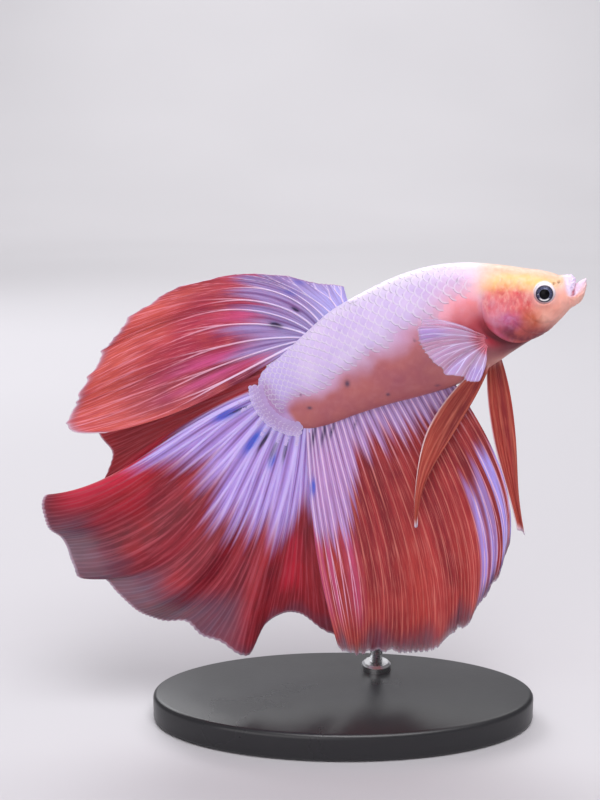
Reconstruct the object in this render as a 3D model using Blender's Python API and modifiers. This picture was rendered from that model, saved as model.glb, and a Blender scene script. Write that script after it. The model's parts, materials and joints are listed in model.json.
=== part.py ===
"""Betta fish, a male in full finnage, life size on a plain display stand.

The head is at +X, the fish's right side faces -Y and +Z is up. The origin is the centre of
the stand's underside. Sizes below are in millimetres and MM turns them into metres.
"""
import math

import bmesh
import bpy
import numpy as np

MM = 0.001
GAP = 0.3                     # clearance between neighbouring pieces
FIN_THICKNESS = 0.6

# ---- Body: upright sections from lips to tail, each (back x, z), (belly x, z), half width
HEAD_END, TRUNK_END = 7.0, 12.4      # sections where the head and the trunk end
HEAD_PARTING, TRUNK_PARTING = 0.04, 0.05      # each piece stops this far short of those
RING_SIDES = 24
HEAD_RINGS, JAW_RINGS, TRUNK_RINGS, TAIL_RINGS = 13, 6, 11, 9
SECTIONS = (
    ((26.0, 55.8), (25.9, 54.6), 0.75),
    ((25.5, 56.3), (25.6, 53.9), 1.25),
    ((24.7, 56.4), (24.9, 52.3), 1.80),
    ((23.6, 56.6), (24.1, 50.6), 2.40),
    ((22.2, 56.9), (23.0, 49.6), 2.85),
    ((20.1, 57.2), (21.5, 48.7), 3.15),
    ((17.7, 57.5), (19.4, 47.2), 3.35),
    ((13.6, 57.7), (17.0, 45.4), 3.45),
    ((9.5, 57.2), (13.1, 43.1), 3.40),
    ((5.3, 55.8), (9.1, 41.7), 3.10),
    ((1.4, 53.8), (5.3, 40.6), 2.65),
    ((-2.1, 51.7), (1.5, 39.3), 2.10),
    ((-5.1, 49.0), (-1.6, 38.1), 1.70),
    ((-7.5, 46.8), (-3.9, 37.5), 1.25),
    ((-10.0, 44.6), (-5.2, 37.5), 0.90),
    ((-10.6, 42.6), (-5.9, 37.6), 0.65),
    ((-10.0, 40.9), (-7.0, 38.0), 0.50),
)
JAW = (
    ((27.2, 56.0), (27.5, 55.4), 0.35),
    ((27.0, 55.8), (27.4, 54.7), 0.80),
    ((26.5, 55.5), (27.0, 53.6), 1.05),
    ((26.2, 55.1), (26.2, 52.9), 1.25),
    ((26.2, 54.3), (25.3, 52.2), 1.30),
)
SIDE_FULLNESS = 0.9           # exponent that squares the sections a little
TURN_SWING = 3.6              # how far the snout swings to the fish's right
TURN_START, TURN_LENGTH, TURN_POWER = -2.0, 29.0, 1.6

# ---- Head details, placed on the unturned body
EYE_CENTRE, EYE_RADIUS, EYE_HALF_DEPTH = (22.7, 2.25, 54.5), 1.3, 1.0
GILL_CENTRE, GILL_RADII = (18.5, 51.6), (2.6, 3.1)
GILL_INNER, GILL_OUTER = 2.2, 6.0    # the blocks that form the covers reach over this span

# ---- Fins. Each row runs over evenly spaced guide rays, front or top ray first. A ray has a
# length and a heading at its root, middle and tip (degrees, 0 forward, 90 up). "fold" is how
# far its tip stands off to the fish's left.
DORSAL = {
    "length": (1.3, 2.5, 7.0, 11.6, 19.2, 22.7, 25.2, 26.9, 28.3, 28.5, 24.8),
    "root": (106, 120, 134, 133, 125, 135, 147, 165, 186, 200, 217),
    "middle": (106, 123, 147, 154, 176, 185, 190, 196, 200, 204, 205),
    "tip": (106, 123, 142, 180, 192, 199, 208, 207, 199, 190, 189),
    "fold": (0, 0, -0.2, -0.4, -0.7, -1.3, -0.9, -1.6, -1.1, -1.9, -2.6),
}
CAUDAL = {
    "length": (17.3, 19.4, 20.0, 19.4, 25.0, 27.8, 30.0, 30.2, 31.4, 30.7, 30.6, 30.3, 28.4,
               28.6, 25.3, 23.9, 27.2),
    "root": (158, 172, 188, 191, 190, 190, 202, 218, 227, 233, 241, 250, 257, 268, 274, 276,
             276),
    "middle": (165, 184, 196, 206, 215, 210, 216, 219, 226, 234, 242, 247, 253, 256, 261, 271,
               280),
    "tip": (180, 196, 199, 208, 222, 182, 182, 182, 173, 170, 186, 203, 225, 258, 257, 268, 282),
    "fold": (2.6, 3.0, 3.2, 3.0, 2.2, -1.8, -1.0, 0.6, -0.8, 0.8, -0.8, 0.8, -1.6, -2.4, 0.6,
             2.4, 2.2),
}
ANAL = {
    "length": (20.3, 23.9, 27.2, 29.2, 30.0, 30.9, 31.2, 29.7, 29.7, 28.5, 27.0),
    "root": (304, 300, 299, 301, 298, 296, 291, 284, 281, 276, 271),
    "middle": (293, 294, 291, 289, 289, 288, 285, 284, 282, 280, 278),
    "tip": (263, 256, 254, 260, 263, 263, 263, 262, 266, 280, 288),
    "fold": (-0.2, -0.7, 0.3, -0.7, 0.6, -0.9, 0.7, -0.8, 0.3, -1.3, -2.4),
}
PELVIC_RIGHT = {
    "length": (18.9, 20.8, 20.7, 18.7),
    "root": (219, 233, 247, 255),
    "middle": (246, 246, 245, 241),
    "tip": (274, 273, 274, 270),
    "fold": (-0.9, -1.2, -0.8, -1.1),
}
PELVIC_LEFT = {
    "length": (20.0, 20.6, 21.4, 21.9),
    "root": (268, 274, 281, 291),
    "middle": (283, 282, 280, 276),
    "tip": (283, 284, 284, 283),
    "fold": (0.9, 1.3, 0.9, 1.2),
}
PECTORAL = {
    "length": (7.8, 8.0, 7.4, 6.3, 5.2, 4.2, 3.4),
    "root": (147, 158, 172, 189, 209, 229, 285),
    "middle": (163, 172, 185, 201, 219, 240, 258),
    "tip": (184, 186, 198, 217, 235, 248, 246),
    "fold": (1.6, 2.0, 1.7, 2.0, 1.7, 1.5, 1.2),
}
DORSAL_SECTIONS, DORSAL_CROWDING = (10.35, 12.2), 1.5    # where its roots run along the back
ANAL_SECTIONS, ANAL_CROWDING = (8.05, 13.4), 1.1         # where its roots run along the belly
CAUDAL_ARC_CENTRE, CAUDAL_ARC_RADIUS = (-5.3, 42.9), 5.9
PELVIC_RIGHT_ROOT, PELVIC_LEFT_ROOT = (16.2, -1.6, 44.5), (17.2, 1.1, 44.9)
PELVIC_ROOT_WIDTH = 1.4
PELVIC_RIGHT_SLOPE, PELVIC_LEFT_SLOPE = 0.3, 0.6         # rise of the roots towards the front
PECTORAL_ROOT, PECTORAL_ROOT_HEIGHT = (16.2, 3.95, 48.9), 1.3
FOLD_POWER = 1.4
ROOT_CLEARANCE = 1.2 * GAP    # from the skin to the middle of a fin on the back or belly
DORSAL_GRID, CAUDAL_GRID, ANAL_GRID = (20, 11), (36, 12), (22, 12)      # columns and rows
PELVIC_GRID, PECTORAL_GRID = (4, 13), (9, 6)

# ---- Display stand
BASE_LENGTH, BASE_WIDTH, BASE_HEIGHT, BASE_BEVEL = 48.0, 24.0, 3.5, 0.6
ROD_RADIUS = 0.8
ROD_X, ROD_Y, ROD_TOP = 4.6, 6.6, 49.0
ROD_TIP_Y = 3.75              # the rod's tip stops short of the fish's left flank
ROD_BEND, ROD_BEND_STEPS = 4.0, 6
ROD_BEND_SHARE = 0.75         # part of the way in to the flank that the bend covers


def clear_scene():
    for old in list(bpy.data.objects):
        bpy.data.objects.remove(old, do_unlink=True)


def new_collection(name):
    collection = bpy.data.collections.new(name)
    bpy.context.scene.collection.children.link(collection)
    return collection


def material(name, colour, roughness, metallic=0.0):
    finish = bpy.data.materials.new(name)
    finish.use_nodes = True
    shader = finish.node_tree.nodes["Principled BSDF"]
    shader.inputs["Base Color"].default_value = (*colour, 1.0)
    shader.inputs["Roughness"].default_value = roughness
    shader.inputs["Metallic"].default_value = metallic
    finish.diffuse_color = (*colour, 1.0)
    return finish


def smooth(values, t):
    """Value at t, from 0 to 1, on a smooth curve through evenly spaced values."""
    rows = np.asarray(values, float)
    rows = np.concatenate([[2 * rows[0] - rows[1]], rows, [2 * rows[-1] - rows[-2]]])
    place = min(max(t, 0.0), 1.0) * (len(rows) - 3)
    i = min(int(place), len(rows) - 4)
    f = place - i
    a, b, c, d = rows[i:i + 4]
    return b + 0.5 * f * (c - a + f * (2 * a - 5 * b + 4 * c - d + f * (3 * (b - c) + d - a)))


def turn_head(x, y, z):
    """Bend the straight body so that its head turns gently to the fish's right."""
    reach = max(x - TURN_START, 0.0) / TURN_LENGTH
    angle = math.atan(TURN_SWING * TURN_POWER / TURN_LENGTH * reach ** (TURN_POWER - 1))
    return x + y * math.sin(angle), y * math.cos(angle) - TURN_SWING * reach ** TURN_POWER, z


def section(table, t):
    """Back point, belly point and half width of the body at section number t."""
    row = smooth([(*back, *belly, half) for back, belly, half in table], t / (len(table) - 1))
    return row[0:2], row[2:4], row[4]


def body_point(table, t, angle):
    """Point on the body at section t, angle 0 on the back, pi on the belly, + to the left."""
    back, belly, half = section(table, t)
    x, z = (back + belly) / 2 + (back - belly) / 2 * math.cos(angle)
    side = math.sin(angle)
    return x, half * math.copysign(abs(side) ** SIDE_FULLNESS, side), z


def mesh_object(name, points, faces, collection, finish):
    mesh = bpy.data.meshes.new(name)
    mesh.from_pydata([[value * MM for value in point] for point in points], [], faces)
    mesh.materials.append(finish)
    mesh.shade_smooth()
    piece = bpy.data.objects.new(name, mesh)
    collection.objects.link(piece)
    return piece


def loft(name, table, start, end, rings, collection, finish):
    """Closed solid through the body sections from start to end, turned with the head."""
    points = []
    for ring in range(rings):
        t = start + (end - start) * ring / (rings - 1)
        for side in range(RING_SIDES):
            points.append(turn_head(*body_point(table, t, 2 * math.pi * side / RING_SIDES)))
    faces = []
    for ring in range(rings - 1):
        for side in range(RING_SIDES):
            a = ring * RING_SIDES + side
            b = ring * RING_SIDES + (side + 1) % RING_SIDES
            faces.append((a, b, b + RING_SIDES, a + RING_SIDES))
    faces.append(tuple(reversed(range(RING_SIDES))))
    faces.append(tuple(range(len(points) - RING_SIDES, len(points))))
    return mesh_object(name, points, faces, collection, finish)


def ray_point(root, fin, u, v, steps=16):
    """Point at v, from 0 to 1, along the fin's ray u, which starts at root (x, z)."""
    length, first, middle, last = (smooth(fin[key], u)
                                   for key in ("length", "root", "middle", "tip"))
    x, z = root
    for step in range(steps):
        f = v * (step + 0.5) / steps
        heading = math.radians(first + f * (4 * middle - 3 * first - last)
                               + 2 * f * f * (first - 2 * middle + last))
        x += length * v / steps * math.cos(heading)
        z += length * v / steps * math.sin(heading)
    return x, z


def fin_object(name, fin, root_of, grid, collection, finish, side=1.0, off=0.0):
    """Fin swept along its rays as an open surface, given its thickness by Solidify.

    root_of(u) gives ray u's root (x, z). grid is the columns across the rays and the rows
    along them. side mirrors the fin and off is the root's offset from the middle plane.
    """
    columns, rows = grid
    points = []
    for column in range(columns + 1):
        u = column / columns
        for row in range(rows + 1):
            v = row / rows
            x, z = ray_point(root_of(u), fin, u, v)
            fold = smooth(fin["fold"], u) * v ** FOLD_POWER
            points.append(turn_head(x, side * (off + fold), z))
    faces = []
    for column in range(columns):
        for row in range(rows):
            a = column * (rows + 1) + row
            faces.append((a, a + 1, a + rows + 2, a + rows + 1))
    piece = mesh_object(name, points, faces, collection, finish)
    wall = piece.modifiers.new("thickness", "SOLIDIFY")
    wall.thickness = FIN_THICKNESS * MM
    wall.offset = 0.0
    return piece


def outline_root(first, last, crowding, back):
    """Function that gives fin roots spread along the back or belly, just clear of the skin."""
    def root_of(u):
        t = first + (last - first) * (1 - (1 - u) ** crowding)
        top, bottom, _ = section(SECTIONS, t)
        outward = (top - bottom) / np.linalg.norm(top - bottom)
        return top + outward * ROOT_CLEARANCE if back else bottom - outward * ROOT_CLEARANCE
    return root_of


def belly_root(u):
    """Even spread along the belly that crowds slightly towards the front."""
    first, last = ANAL_SECTIONS
    return outline_root(first, last, 1.0, back=False)(u ** ANAL_CROWDING)


def caudal_root(u):
    angle = math.radians(180 + 90 * u)
    x, z = CAUDAL_ARC_CENTRE
    return x + CAUDAL_ARC_RADIUS * math.cos(angle), z + CAUDAL_ARC_RADIUS * math.sin(angle)


def right_pelvic_root(u):
    x, _, z = PELVIC_RIGHT_ROOT
    return x + PELVIC_ROOT_WIDTH * (u - 0.5), z + PELVIC_RIGHT_SLOPE * PELVIC_ROOT_WIDTH * (u - 0.5)


def left_pelvic_root(u):
    x, _, z = PELVIC_LEFT_ROOT
    return x + PELVIC_ROOT_WIDTH * (u - 0.5), z + PELVIC_LEFT_SLOPE * PELVIC_ROOT_WIDTH * (u - 0.5)


def pectoral_root(u):
    x, _, z = PECTORAL_ROOT
    return x + 0.2 * u, z + PECTORAL_ROOT_HEIGHT * (0.5 - u)


def eyeball(name, side, collection, finish, grow=0.0):
    """Flattened ball. grow makes the larger one that cuts its socket."""
    mesh = bpy.data.meshes.new(name)
    ball = bmesh.new()
    bmesh.ops.create_uvsphere(ball, u_segments=20, v_segments=12, radius=1.0)
    x, y, z = EYE_CENTRE
    for vert in ball.verts:
        place = turn_head(x + vert.co.x * (EYE_RADIUS + grow),
                          side * y + vert.co.z * (EYE_HALF_DEPTH + grow),
                          z - vert.co.y * (EYE_RADIUS + grow))
        vert.co = [value * MM for value in place]
    ball.to_mesh(mesh)
    ball.free()
    mesh.materials.append(finish)
    mesh.shade_smooth()
    piece = bpy.data.objects.new(name, mesh)
    collection.objects.link(piece)
    return piece


def gill_prism(name, side, collection, finish, grow, inner):
    """Oval block over the gill cover, from inner out past the side of the head."""
    mesh = bpy.data.meshes.new(name)
    block = bmesh.new()
    bmesh.ops.create_cone(block, cap_ends=True, segments=28, radius1=1.0, radius2=1.0, depth=1.0)
    for vert in block.verts:
        x = GILL_CENTRE[0] + vert.co.x * (GILL_RADII[0] + grow)
        z = GILL_CENTRE[1] - vert.co.y * (GILL_RADII[1] + grow)
        y = side * (inner + (vert.co.z * side + 0.5) * (GILL_OUTER - inner))
        vert.co = [value * MM for value in turn_head(x, y, z)]
    bmesh.ops.recalc_face_normals(block, faces=block.faces)
    block.to_mesh(mesh)
    block.free()
    mesh.materials.append(finish)
    piece = bpy.data.objects.new(name, mesh)
    collection.objects.link(piece)
    return piece


def boolean(piece, cutter, operation):
    cutter.hide_render = True
    cutter.display_type = "WIRE"
    cut = piece.modifiers.new(operation.lower() + " " + cutter.name, "BOOLEAN")
    cut.operation = operation
    cut.object = cutter
    cut.solver = "EXACT"


def stand_base(collection, finish):
    """Flat oval plate with a softened rim, standing on z = 0."""
    mesh = bpy.data.meshes.new("stand_base")
    plate = bmesh.new()
    bmesh.ops.create_cone(plate, cap_ends=True, segments=48, radius1=0.5, radius2=0.5,
                          depth=BASE_HEIGHT * MM)
    for vert in plate.verts:
        vert.co.x *= BASE_LENGTH * MM
        vert.co.y *= BASE_WIDTH * MM
        vert.co.z += BASE_HEIGHT * MM / 2
    plate.to_mesh(mesh)
    plate.free()
    mesh.materials.append(finish)
    piece = bpy.data.objects.new("stand_base", mesh)
    collection.objects.link(piece)
    rim = piece.modifiers.new("rim", "BEVEL")
    rim.width = BASE_BEVEL * MM
    rim.segments = 2
    rim.limit_method = "ANGLE"
    return piece


def stand_rod(collection, finish):
    """Upright rod behind the fins that bends in to the fish's left flank."""
    route = [(ROD_X, ROD_Y, BASE_HEIGHT + GAP), (ROD_X, ROD_Y, ROD_TOP - ROD_BEND)]
    run = (ROD_Y - ROD_TIP_Y) * ROD_BEND_SHARE
    for step in range(1, ROD_BEND_STEPS + 1):
        angle = math.radians(90 * step / ROD_BEND_STEPS)
        route.append((ROD_X, ROD_Y - run * (1 - math.cos(angle)),
                      ROD_TOP - ROD_BEND * (1 - math.sin(angle))))
    route.append((ROD_X, ROD_TIP_Y, ROD_TOP))
    curve = bpy.data.curves.new("stand_rod", "CURVE")
    curve.dimensions = "3D"
    curve.bevel_depth = ROD_RADIUS * MM
    curve.bevel_resolution = 2
    curve.use_fill_caps = True
    line = curve.splines.new("POLY")
    line.points.add(len(route) - 1)
    for point, place in zip(line.points, route):
        point.co = (*(value * MM for value in place), 1.0)
    curve.materials.append(finish)
    piece = bpy.data.objects.new("stand_rod", curve)
    collection.objects.link(piece)
    return piece


def main():
    clear_scene()
    fish = new_collection("betta_fish")
    cutters = new_collection("cutters")
    pale = material("pale scales", (0.78, 0.58, 0.82), 0.35)
    face = material("face", (0.90, 0.62, 0.42), 0.4)
    cheek = material("cheek", (0.80, 0.28, 0.25), 0.4)
    red = material("red fins", (0.50, 0.07, 0.06), 0.45)
    lilac = material("lilac fins", (0.45, 0.33, 0.75), 0.45)
    clear = material("pectoral fins", (0.72, 0.55, 0.75), 0.45)
    dark = material("eyes", (0.02, 0.015, 0.03), 0.1)
    plastic = material("stand plastic", (0.015, 0.015, 0.017), 0.3)
    steel = material("stand steel", (0.6, 0.6, 0.6), 0.3, 1.0)

    head_end = HEAD_END - HEAD_PARTING
    head = loft("head", SECTIONS, 0.0, head_end, HEAD_RINGS, fish, face)
    loft("lower_jaw", JAW, 0.0, len(JAW) - 1.0, JAW_RINGS, fish, face)
    loft("trunk", SECTIONS, HEAD_END + HEAD_PARTING, TRUNK_END - TRUNK_PARTING, TRUNK_RINGS,
         fish, pale)
    loft("tail_peduncle", SECTIONS, TRUNK_END + TRUNK_PARTING, len(SECTIONS) - 1.0, TAIL_RINGS,
         fish, pale)
    for side, word in ((-1, "right"), (1, "left")):
        eyeball("eye_" + word, side, fish, dark)
        boolean(head, eyeball("socket_" + word, side, cutters, dark, GAP), "DIFFERENCE")
        cover = loft("gill_cover_" + word, SECTIONS, 0.0, head_end, HEAD_RINGS, fish, cheek)
        boolean(cover, gill_prism("cover_form_" + word, side, cutters, cheek, -GAP / 2,
                                  GILL_INNER + GAP), "INTERSECT")
        boolean(head, gill_prism("cover_seat_" + word, side, cutters, cheek, GAP / 2,
                                 GILL_INNER), "DIFFERENCE")
        fin_object("pectoral_fin_" + word, PECTORAL, pectoral_root, PECTORAL_GRID, fish, clear,
                   side=side, off=PECTORAL_ROOT[1])
    dorsal_root = outline_root(*DORSAL_SECTIONS, DORSAL_CROWDING, back=True)
    fin_object("dorsal_fin", DORSAL, dorsal_root, DORSAL_GRID, fish, red)
    fin_object("caudal_fin", CAUDAL, caudal_root, CAUDAL_GRID, fish, lilac)
    fin_object("anal_fin", ANAL, belly_root, ANAL_GRID, fish, red)
    fin_object("pelvic_fin_right", PELVIC_RIGHT, right_pelvic_root, PELVIC_GRID, fish, red,
               off=PELVIC_RIGHT_ROOT[1])
    fin_object("pelvic_fin_left", PELVIC_LEFT, left_pelvic_root, PELVIC_GRID, fish, red,
               off=PELVIC_LEFT_ROOT[1])
    stand_base(fish, plastic)
    stand_rod(fish, steel)


main()
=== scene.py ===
# %% [markdown]
# # A betta fish, life size, on a display stand
#
# This lesson dresses a male betta with full fins. The solids loaded as the frame give every
# size. A fish is a smooth skin, a coat of small overlapping scales, thin fins that are
# stiffened by branching rays, and wet round eyes. Each of these is modelled in its own cell,
# from short functions, so that a reader can change one number and see what it does.

import json
import math

import bmesh
import bpy
import numpy as np
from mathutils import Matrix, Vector
from mathutils.bvhtree import BVHTree

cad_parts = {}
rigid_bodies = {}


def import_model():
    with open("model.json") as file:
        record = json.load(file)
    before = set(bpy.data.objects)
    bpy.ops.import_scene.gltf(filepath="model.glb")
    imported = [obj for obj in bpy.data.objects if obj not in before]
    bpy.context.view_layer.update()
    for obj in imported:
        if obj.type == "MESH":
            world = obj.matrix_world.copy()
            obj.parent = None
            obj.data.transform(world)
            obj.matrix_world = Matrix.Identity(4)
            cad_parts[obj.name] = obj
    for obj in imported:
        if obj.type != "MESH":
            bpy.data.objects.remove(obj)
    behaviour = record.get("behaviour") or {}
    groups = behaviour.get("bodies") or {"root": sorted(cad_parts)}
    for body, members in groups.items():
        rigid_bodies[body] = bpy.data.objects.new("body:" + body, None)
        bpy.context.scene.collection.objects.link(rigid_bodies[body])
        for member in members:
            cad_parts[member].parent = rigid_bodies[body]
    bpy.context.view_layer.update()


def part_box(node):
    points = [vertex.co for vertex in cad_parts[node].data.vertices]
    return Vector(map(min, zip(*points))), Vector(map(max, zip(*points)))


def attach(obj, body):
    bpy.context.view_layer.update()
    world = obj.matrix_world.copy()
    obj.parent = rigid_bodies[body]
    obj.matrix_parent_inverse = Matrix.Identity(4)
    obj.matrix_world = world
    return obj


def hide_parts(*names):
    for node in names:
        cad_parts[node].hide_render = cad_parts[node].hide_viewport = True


for old in list(bpy.data.objects):
    bpy.data.objects.remove(old, do_unlink=True)
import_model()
MM = 0.001                    # sizes below are in millimetres

# %% [markdown]
# ## Smooth curves, fades and random waves
#
# Nature has few straight lines. A few helpers make most of the shapes here: a smooth curve
# through a few values, a soft step, soft patches and lines, and gentle random waves. They work
# on whole numpy arrays at once, which is much quicker than a loop over the points.

# %% Helpers for shapes
def through(rows, place):
    """Values at place (0 is the first row, 1 the next) on a smooth curve through the rows."""
    rows = np.asarray(rows, float)
    rows = np.concatenate([2 * rows[:1] - rows[1:2], rows, 2 * rows[-1:] - rows[-2:-1]])
    place = np.clip(place, 0.0, len(rows) - 3.0)
    i = np.minimum(place.astype(int), len(rows) - 4)
    f = place - i if rows.ndim == 1 else (place - i)[..., None]
    a, b, c, d = rows[i], rows[i + 1], rows[i + 2], rows[i + 3]
    return b + 0.5 * f * (c - a + f * (2 * a - 5 * b + 4 * c - d + f * (3 * (b - c) + d - a)))


def fade(start, end, value):
    """0 before start, 1 after end and smooth between. start may be above end."""
    f = np.clip((value - start) / (end - start), 0.0, 1.0)
    return f * f * (3 - 2 * f)


def patch(x, z, centre, radii, tilt=0.0):
    """Soft round patch, 1 at its centre. tilt turns its long axis, in degrees."""
    c, s = math.cos(math.radians(tilt)), math.sin(math.radians(tilt))
    dx, dz = x - centre[0], z - centre[1]
    return np.exp(-((dx * c + dz * s) / radii[0]) ** 2 - ((dz * c - dx * s) / radii[1]) ** 2)


def patches(x, z, spots):
    """Sum of soft patches, each (strength, centre, radii, tilt)."""
    return sum(strength * patch(x, z, *rest) for strength, *rest in spots)


def line(distance, width):
    """Soft line, 1 where the distance is 0."""
    return np.exp(-(distance / width) ** 2)


WAVE_KNOTS, CLOUD_KNOTS = 1024, 256   # the waves and clouds repeat after so many units


def waves(x, seed):
    """Random waves from -1 to 1 along x, about one for each unit."""
    knots = np.random.default_rng(seed).uniform(-1, 1, WAVE_KNOTS)
    i = np.floor(x).astype(int)
    here, there = knots[i % WAVE_KNOTS], knots[(i + 1) % WAVE_KNOTS]
    return here + (there - here) * fade(0, 1, x - i)


def clouds(x, y, seed):
    """Random waves from -1 to 1 over a plane, about one for each unit."""
    knots = np.random.default_rng(seed).uniform(-1, 1, (CLOUD_KNOTS, CLOUD_KNOTS))
    i, j = np.floor(x).astype(int), np.floor(y).astype(int)
    f, g = fade(0, 1, x - i), fade(0, 1, y - j)
    near, far = (knots[i % CLOUD_KNOTS, k % CLOUD_KNOTS] * (1 - f)
                 + knots[(i + 1) % CLOUD_KNOTS, k % CLOUD_KNOTS] * f for k in (j, j + 1))
    return near * (1 - g) + far * g


print("a curve through 1, 4 and 2, halfway:", through([1, 4, 2], np.array([1.5]))[0])

# %% [markdown]
# ## The body as one function
#
# A fish's body is a stack of upright rings, from the mouth to the tail. A ring needs its top
# point, its bottom point, where its side lies and how wide it is. The first rings turn back
# on themselves: they start inside the open mouth, go out over the lips and then back along
# the head. Any point on the body is then one function of two numbers: the place along the
# rings, and the angle round the ring, from 0 on the back to a half turn on the belly.
#
# The head turns a little to the fish's right, so a last function bends the straight body.

# %% Rings of the body
# Each is (top x, z), (bottom x, z), (side x, z), half width.
MOUTH = (
    (25.60, 55.05, 25.70, 54.95, 25.55, 54.62, 0.45),
    (26.12, 55.48, 26.24, 55.42, 25.88, 54.46, 0.88),
    (26.16, 55.84, 27.18, 56.04, 26.02, 54.34, 0.94),
    (26.00, 56.16, 27.40, 55.62, 26.02, 54.12, 1.12),
    (25.54, 56.38, 27.32, 54.59, 25.74, 54.04, 1.45),
    (25.06, 56.46, 26.95, 53.55, 25.46, 54.16, 1.63),
    (24.68, 56.39, 26.43, 52.98, 25.12, 54.29, 1.80),
    (24.35, 56.34, 25.79, 52.59, 24.79, 54.30, 1.98),
    (23.96, 56.47, 24.84, 51.46, 24.24, 54.09, 2.20),
)
# From here each is (back x, z), (belly x, z), half width, and the side lies midway.
TRUNK = (
    (23.6, 56.6, 24.1, 50.6, 2.40),
    (22.2, 56.9, 23.0, 49.6, 2.85),
    (20.1, 57.2, 21.5, 48.7, 3.15),
    (17.7, 57.5, 19.4, 47.2, 3.35),
    (13.6, 57.7, 17.0, 45.4, 3.45),
    (9.5, 57.2, 13.1, 43.1, 3.40),
    (5.3, 55.8, 9.1, 41.7, 3.10),
    (1.4, 53.8, 5.3, 40.6, 2.65),
    (-2.1, 51.7, 1.5, 39.3, 2.10),
    (-5.1, 49.0, -1.6, 38.1, 1.70),
    (-7.5, 46.8, -3.9, 37.5, 1.25),
    (-10.0, 44.6, -5.2, 37.5, 0.90),
    (-10.6, 42.6, -5.9, 37.6, 0.65),
    (-10.0, 40.9, -7.0, 38.0, 0.50),
)
RINGS = np.array([*MOUTH, *((a, b, c, d, (a + c) / 2, (b + d) / 2, w)
                            for a, b, c, d, w in TRUNK)])
LAST_RING = len(RINGS) - 1.0
SIDE_FULLNESS = 0.9           # squares the rings a little
TURN_SWING, TURN_START, TURN_LENGTH, TURN_POWER = 3.6, -2.0, 29.0, 1.6


def body(place, angle):
    """Points of the straight body. Angle 0 is the back, and it grows towards the left side."""
    ring = through(RINGS, place)
    top, low, side, half = ring[..., 0:2], ring[..., 2:4], ring[..., 4:6], ring[..., 6]
    up = np.cos(angle)[..., None]
    xz = side + np.where(up > 0, (top - side) * up, (side - low) * up)
    across = np.sin(angle)
    y = half * np.sign(across) * np.abs(across) ** SIDE_FULLNESS
    return np.stack([xz[..., 0], y, xz[..., 1]], -1)


def turned(points):
    """Bend the straight body so that the head turns gently to the fish's right."""
    x, y, z = points[..., 0], points[..., 1], points[..., 2]
    reach = np.maximum(x - TURN_START, 0.0) / TURN_LENGTH
    angle = np.arctan(TURN_SWING * TURN_POWER / TURN_LENGTH * reach ** (TURN_POWER - 1))
    return np.stack([x + y * np.sin(angle),
                     y * np.cos(angle) - TURN_SWING * reach ** TURN_POWER, z], -1)


def outward(place, angle, step=0.01):
    """Unit directions along the body, round it and out of it."""
    along = body(place + step, angle) - body(place - step, angle)
    around = body(place, angle + step) - body(place, angle - step)
    along, around = along / (2 * step), around / (2 * step)
    out = np.cross(around, along)
    out /= np.maximum(np.linalg.norm(out, axis=-1, keepdims=True), 1e-9)
    return along, around, out


print("body rings:", len(RINGS), "snout at", body(np.array([3.0]), np.array([math.pi]))[0])

# %% [markdown]
# ## Where the colours lie
#
# This fish is a marbled one: a pale lavender back, a salmon belly that shows through where
# the scales have no shine, a cream nape, golden temples and a coral gill cover. The skin and
# the scales must carry the same markings, or the pattern would break at the first scale. So
# the markings are masks that are worked out from the place on the body, stored on the points
# of both meshes, and turned into colour by one shared group of shader nodes.

# %% Markings
GILL_RING = 12.6              # the ring that follows the rear edge of the gill cover
EYE = (22.71, 54.48)
NOSTRILS = ((24.29, 55.73), (23.74, 55.57))
BELLY_EDGE = (0.45, 0.32, 0.22, 0.08, -0.04, -0.13, -0.18, -0.12, -0.05, -0.05, -0.05)
BELLY_EDGE_START = 12.0       # ring of the first of those heights, 1 on the back, -1 below
BELLY_REAR = (-8.4, -6.6)     # the bare belly fades out between these x
# Soft patches of the marks: strength, x and z of the centre, radii and tilt.
PATCHES = {
    "shoulder": ((1.3, (13.2, 51.6), (3.4, 3.4)),),
    "gold": ((1.5, (20.4, 55.7), (3.2, 0.95), -4), (0.9, (17.6, 55.0), (2.0, 0.9))),
    "blush": ((1.5, (18.2, 53.4), (3.0, 1.7)), (1.2, (19.6, 52.0), (1.5, 2.1)),
              (0.9, (18.4, 49.8), (2.0, 1.5))),
    "violet": ((2.2, (18.6, 50.8), (1.4, 1.3)),),
    "amber": ((1.3, (21.2, 51.2), (1.3, 1.5), 20), (1.1, (20.1, 49.9), (1.0, 1.2)),
              (0.3, (23.4, 52.9), (1.8, 0.8), -20)),
    "rouge": ((1.5, (14.3, 51.7), (2.7, 2.6), 30),),
    "mouth": ((0.9, (25.93, 54.55), (0.15, 0.42), -14),),
}
SPECKS = ((0.2, 43.4, 0.30, 0.42), (5.1, 42.1, 0.2, 0.2), (-4.3, 40.3, 0.28, 0.2),
          (8.1, 48.9, 0.14, 0.14), (10.9, 43.3, 0.2, 0.14), (0.7, 52.9, 0.2, 0.15),
          (3.7, 55.0, 0.2, 0.15), (7.2, 55.7, 0.25, 0.15), (12.8, 55.6, 0.16, 0.10),
          (-5.4, 41.9, 0.15, 0.12), (-1.0, 49.4, 0.12, 0.12), (16.4, 49.3, 0.1, 0.1))
print("patches:", sum(len(rows) for rows in PATCHES.values()), "specks:", len(SPECKS))

# %% Masks from the patches
def bareness(x, z, place, up):
    """1 on the smooth belly, 0 where the scales shine and a soft change between."""
    edge = through(BELLY_EDGE, place - BELLY_EDGE_START) - 0.1 * clouds(x * 0.7, z * 0.7, 3)
    return fade(edge + 0.32, edge - 0.30, up) * fade(*BELLY_REAR, x)


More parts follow.
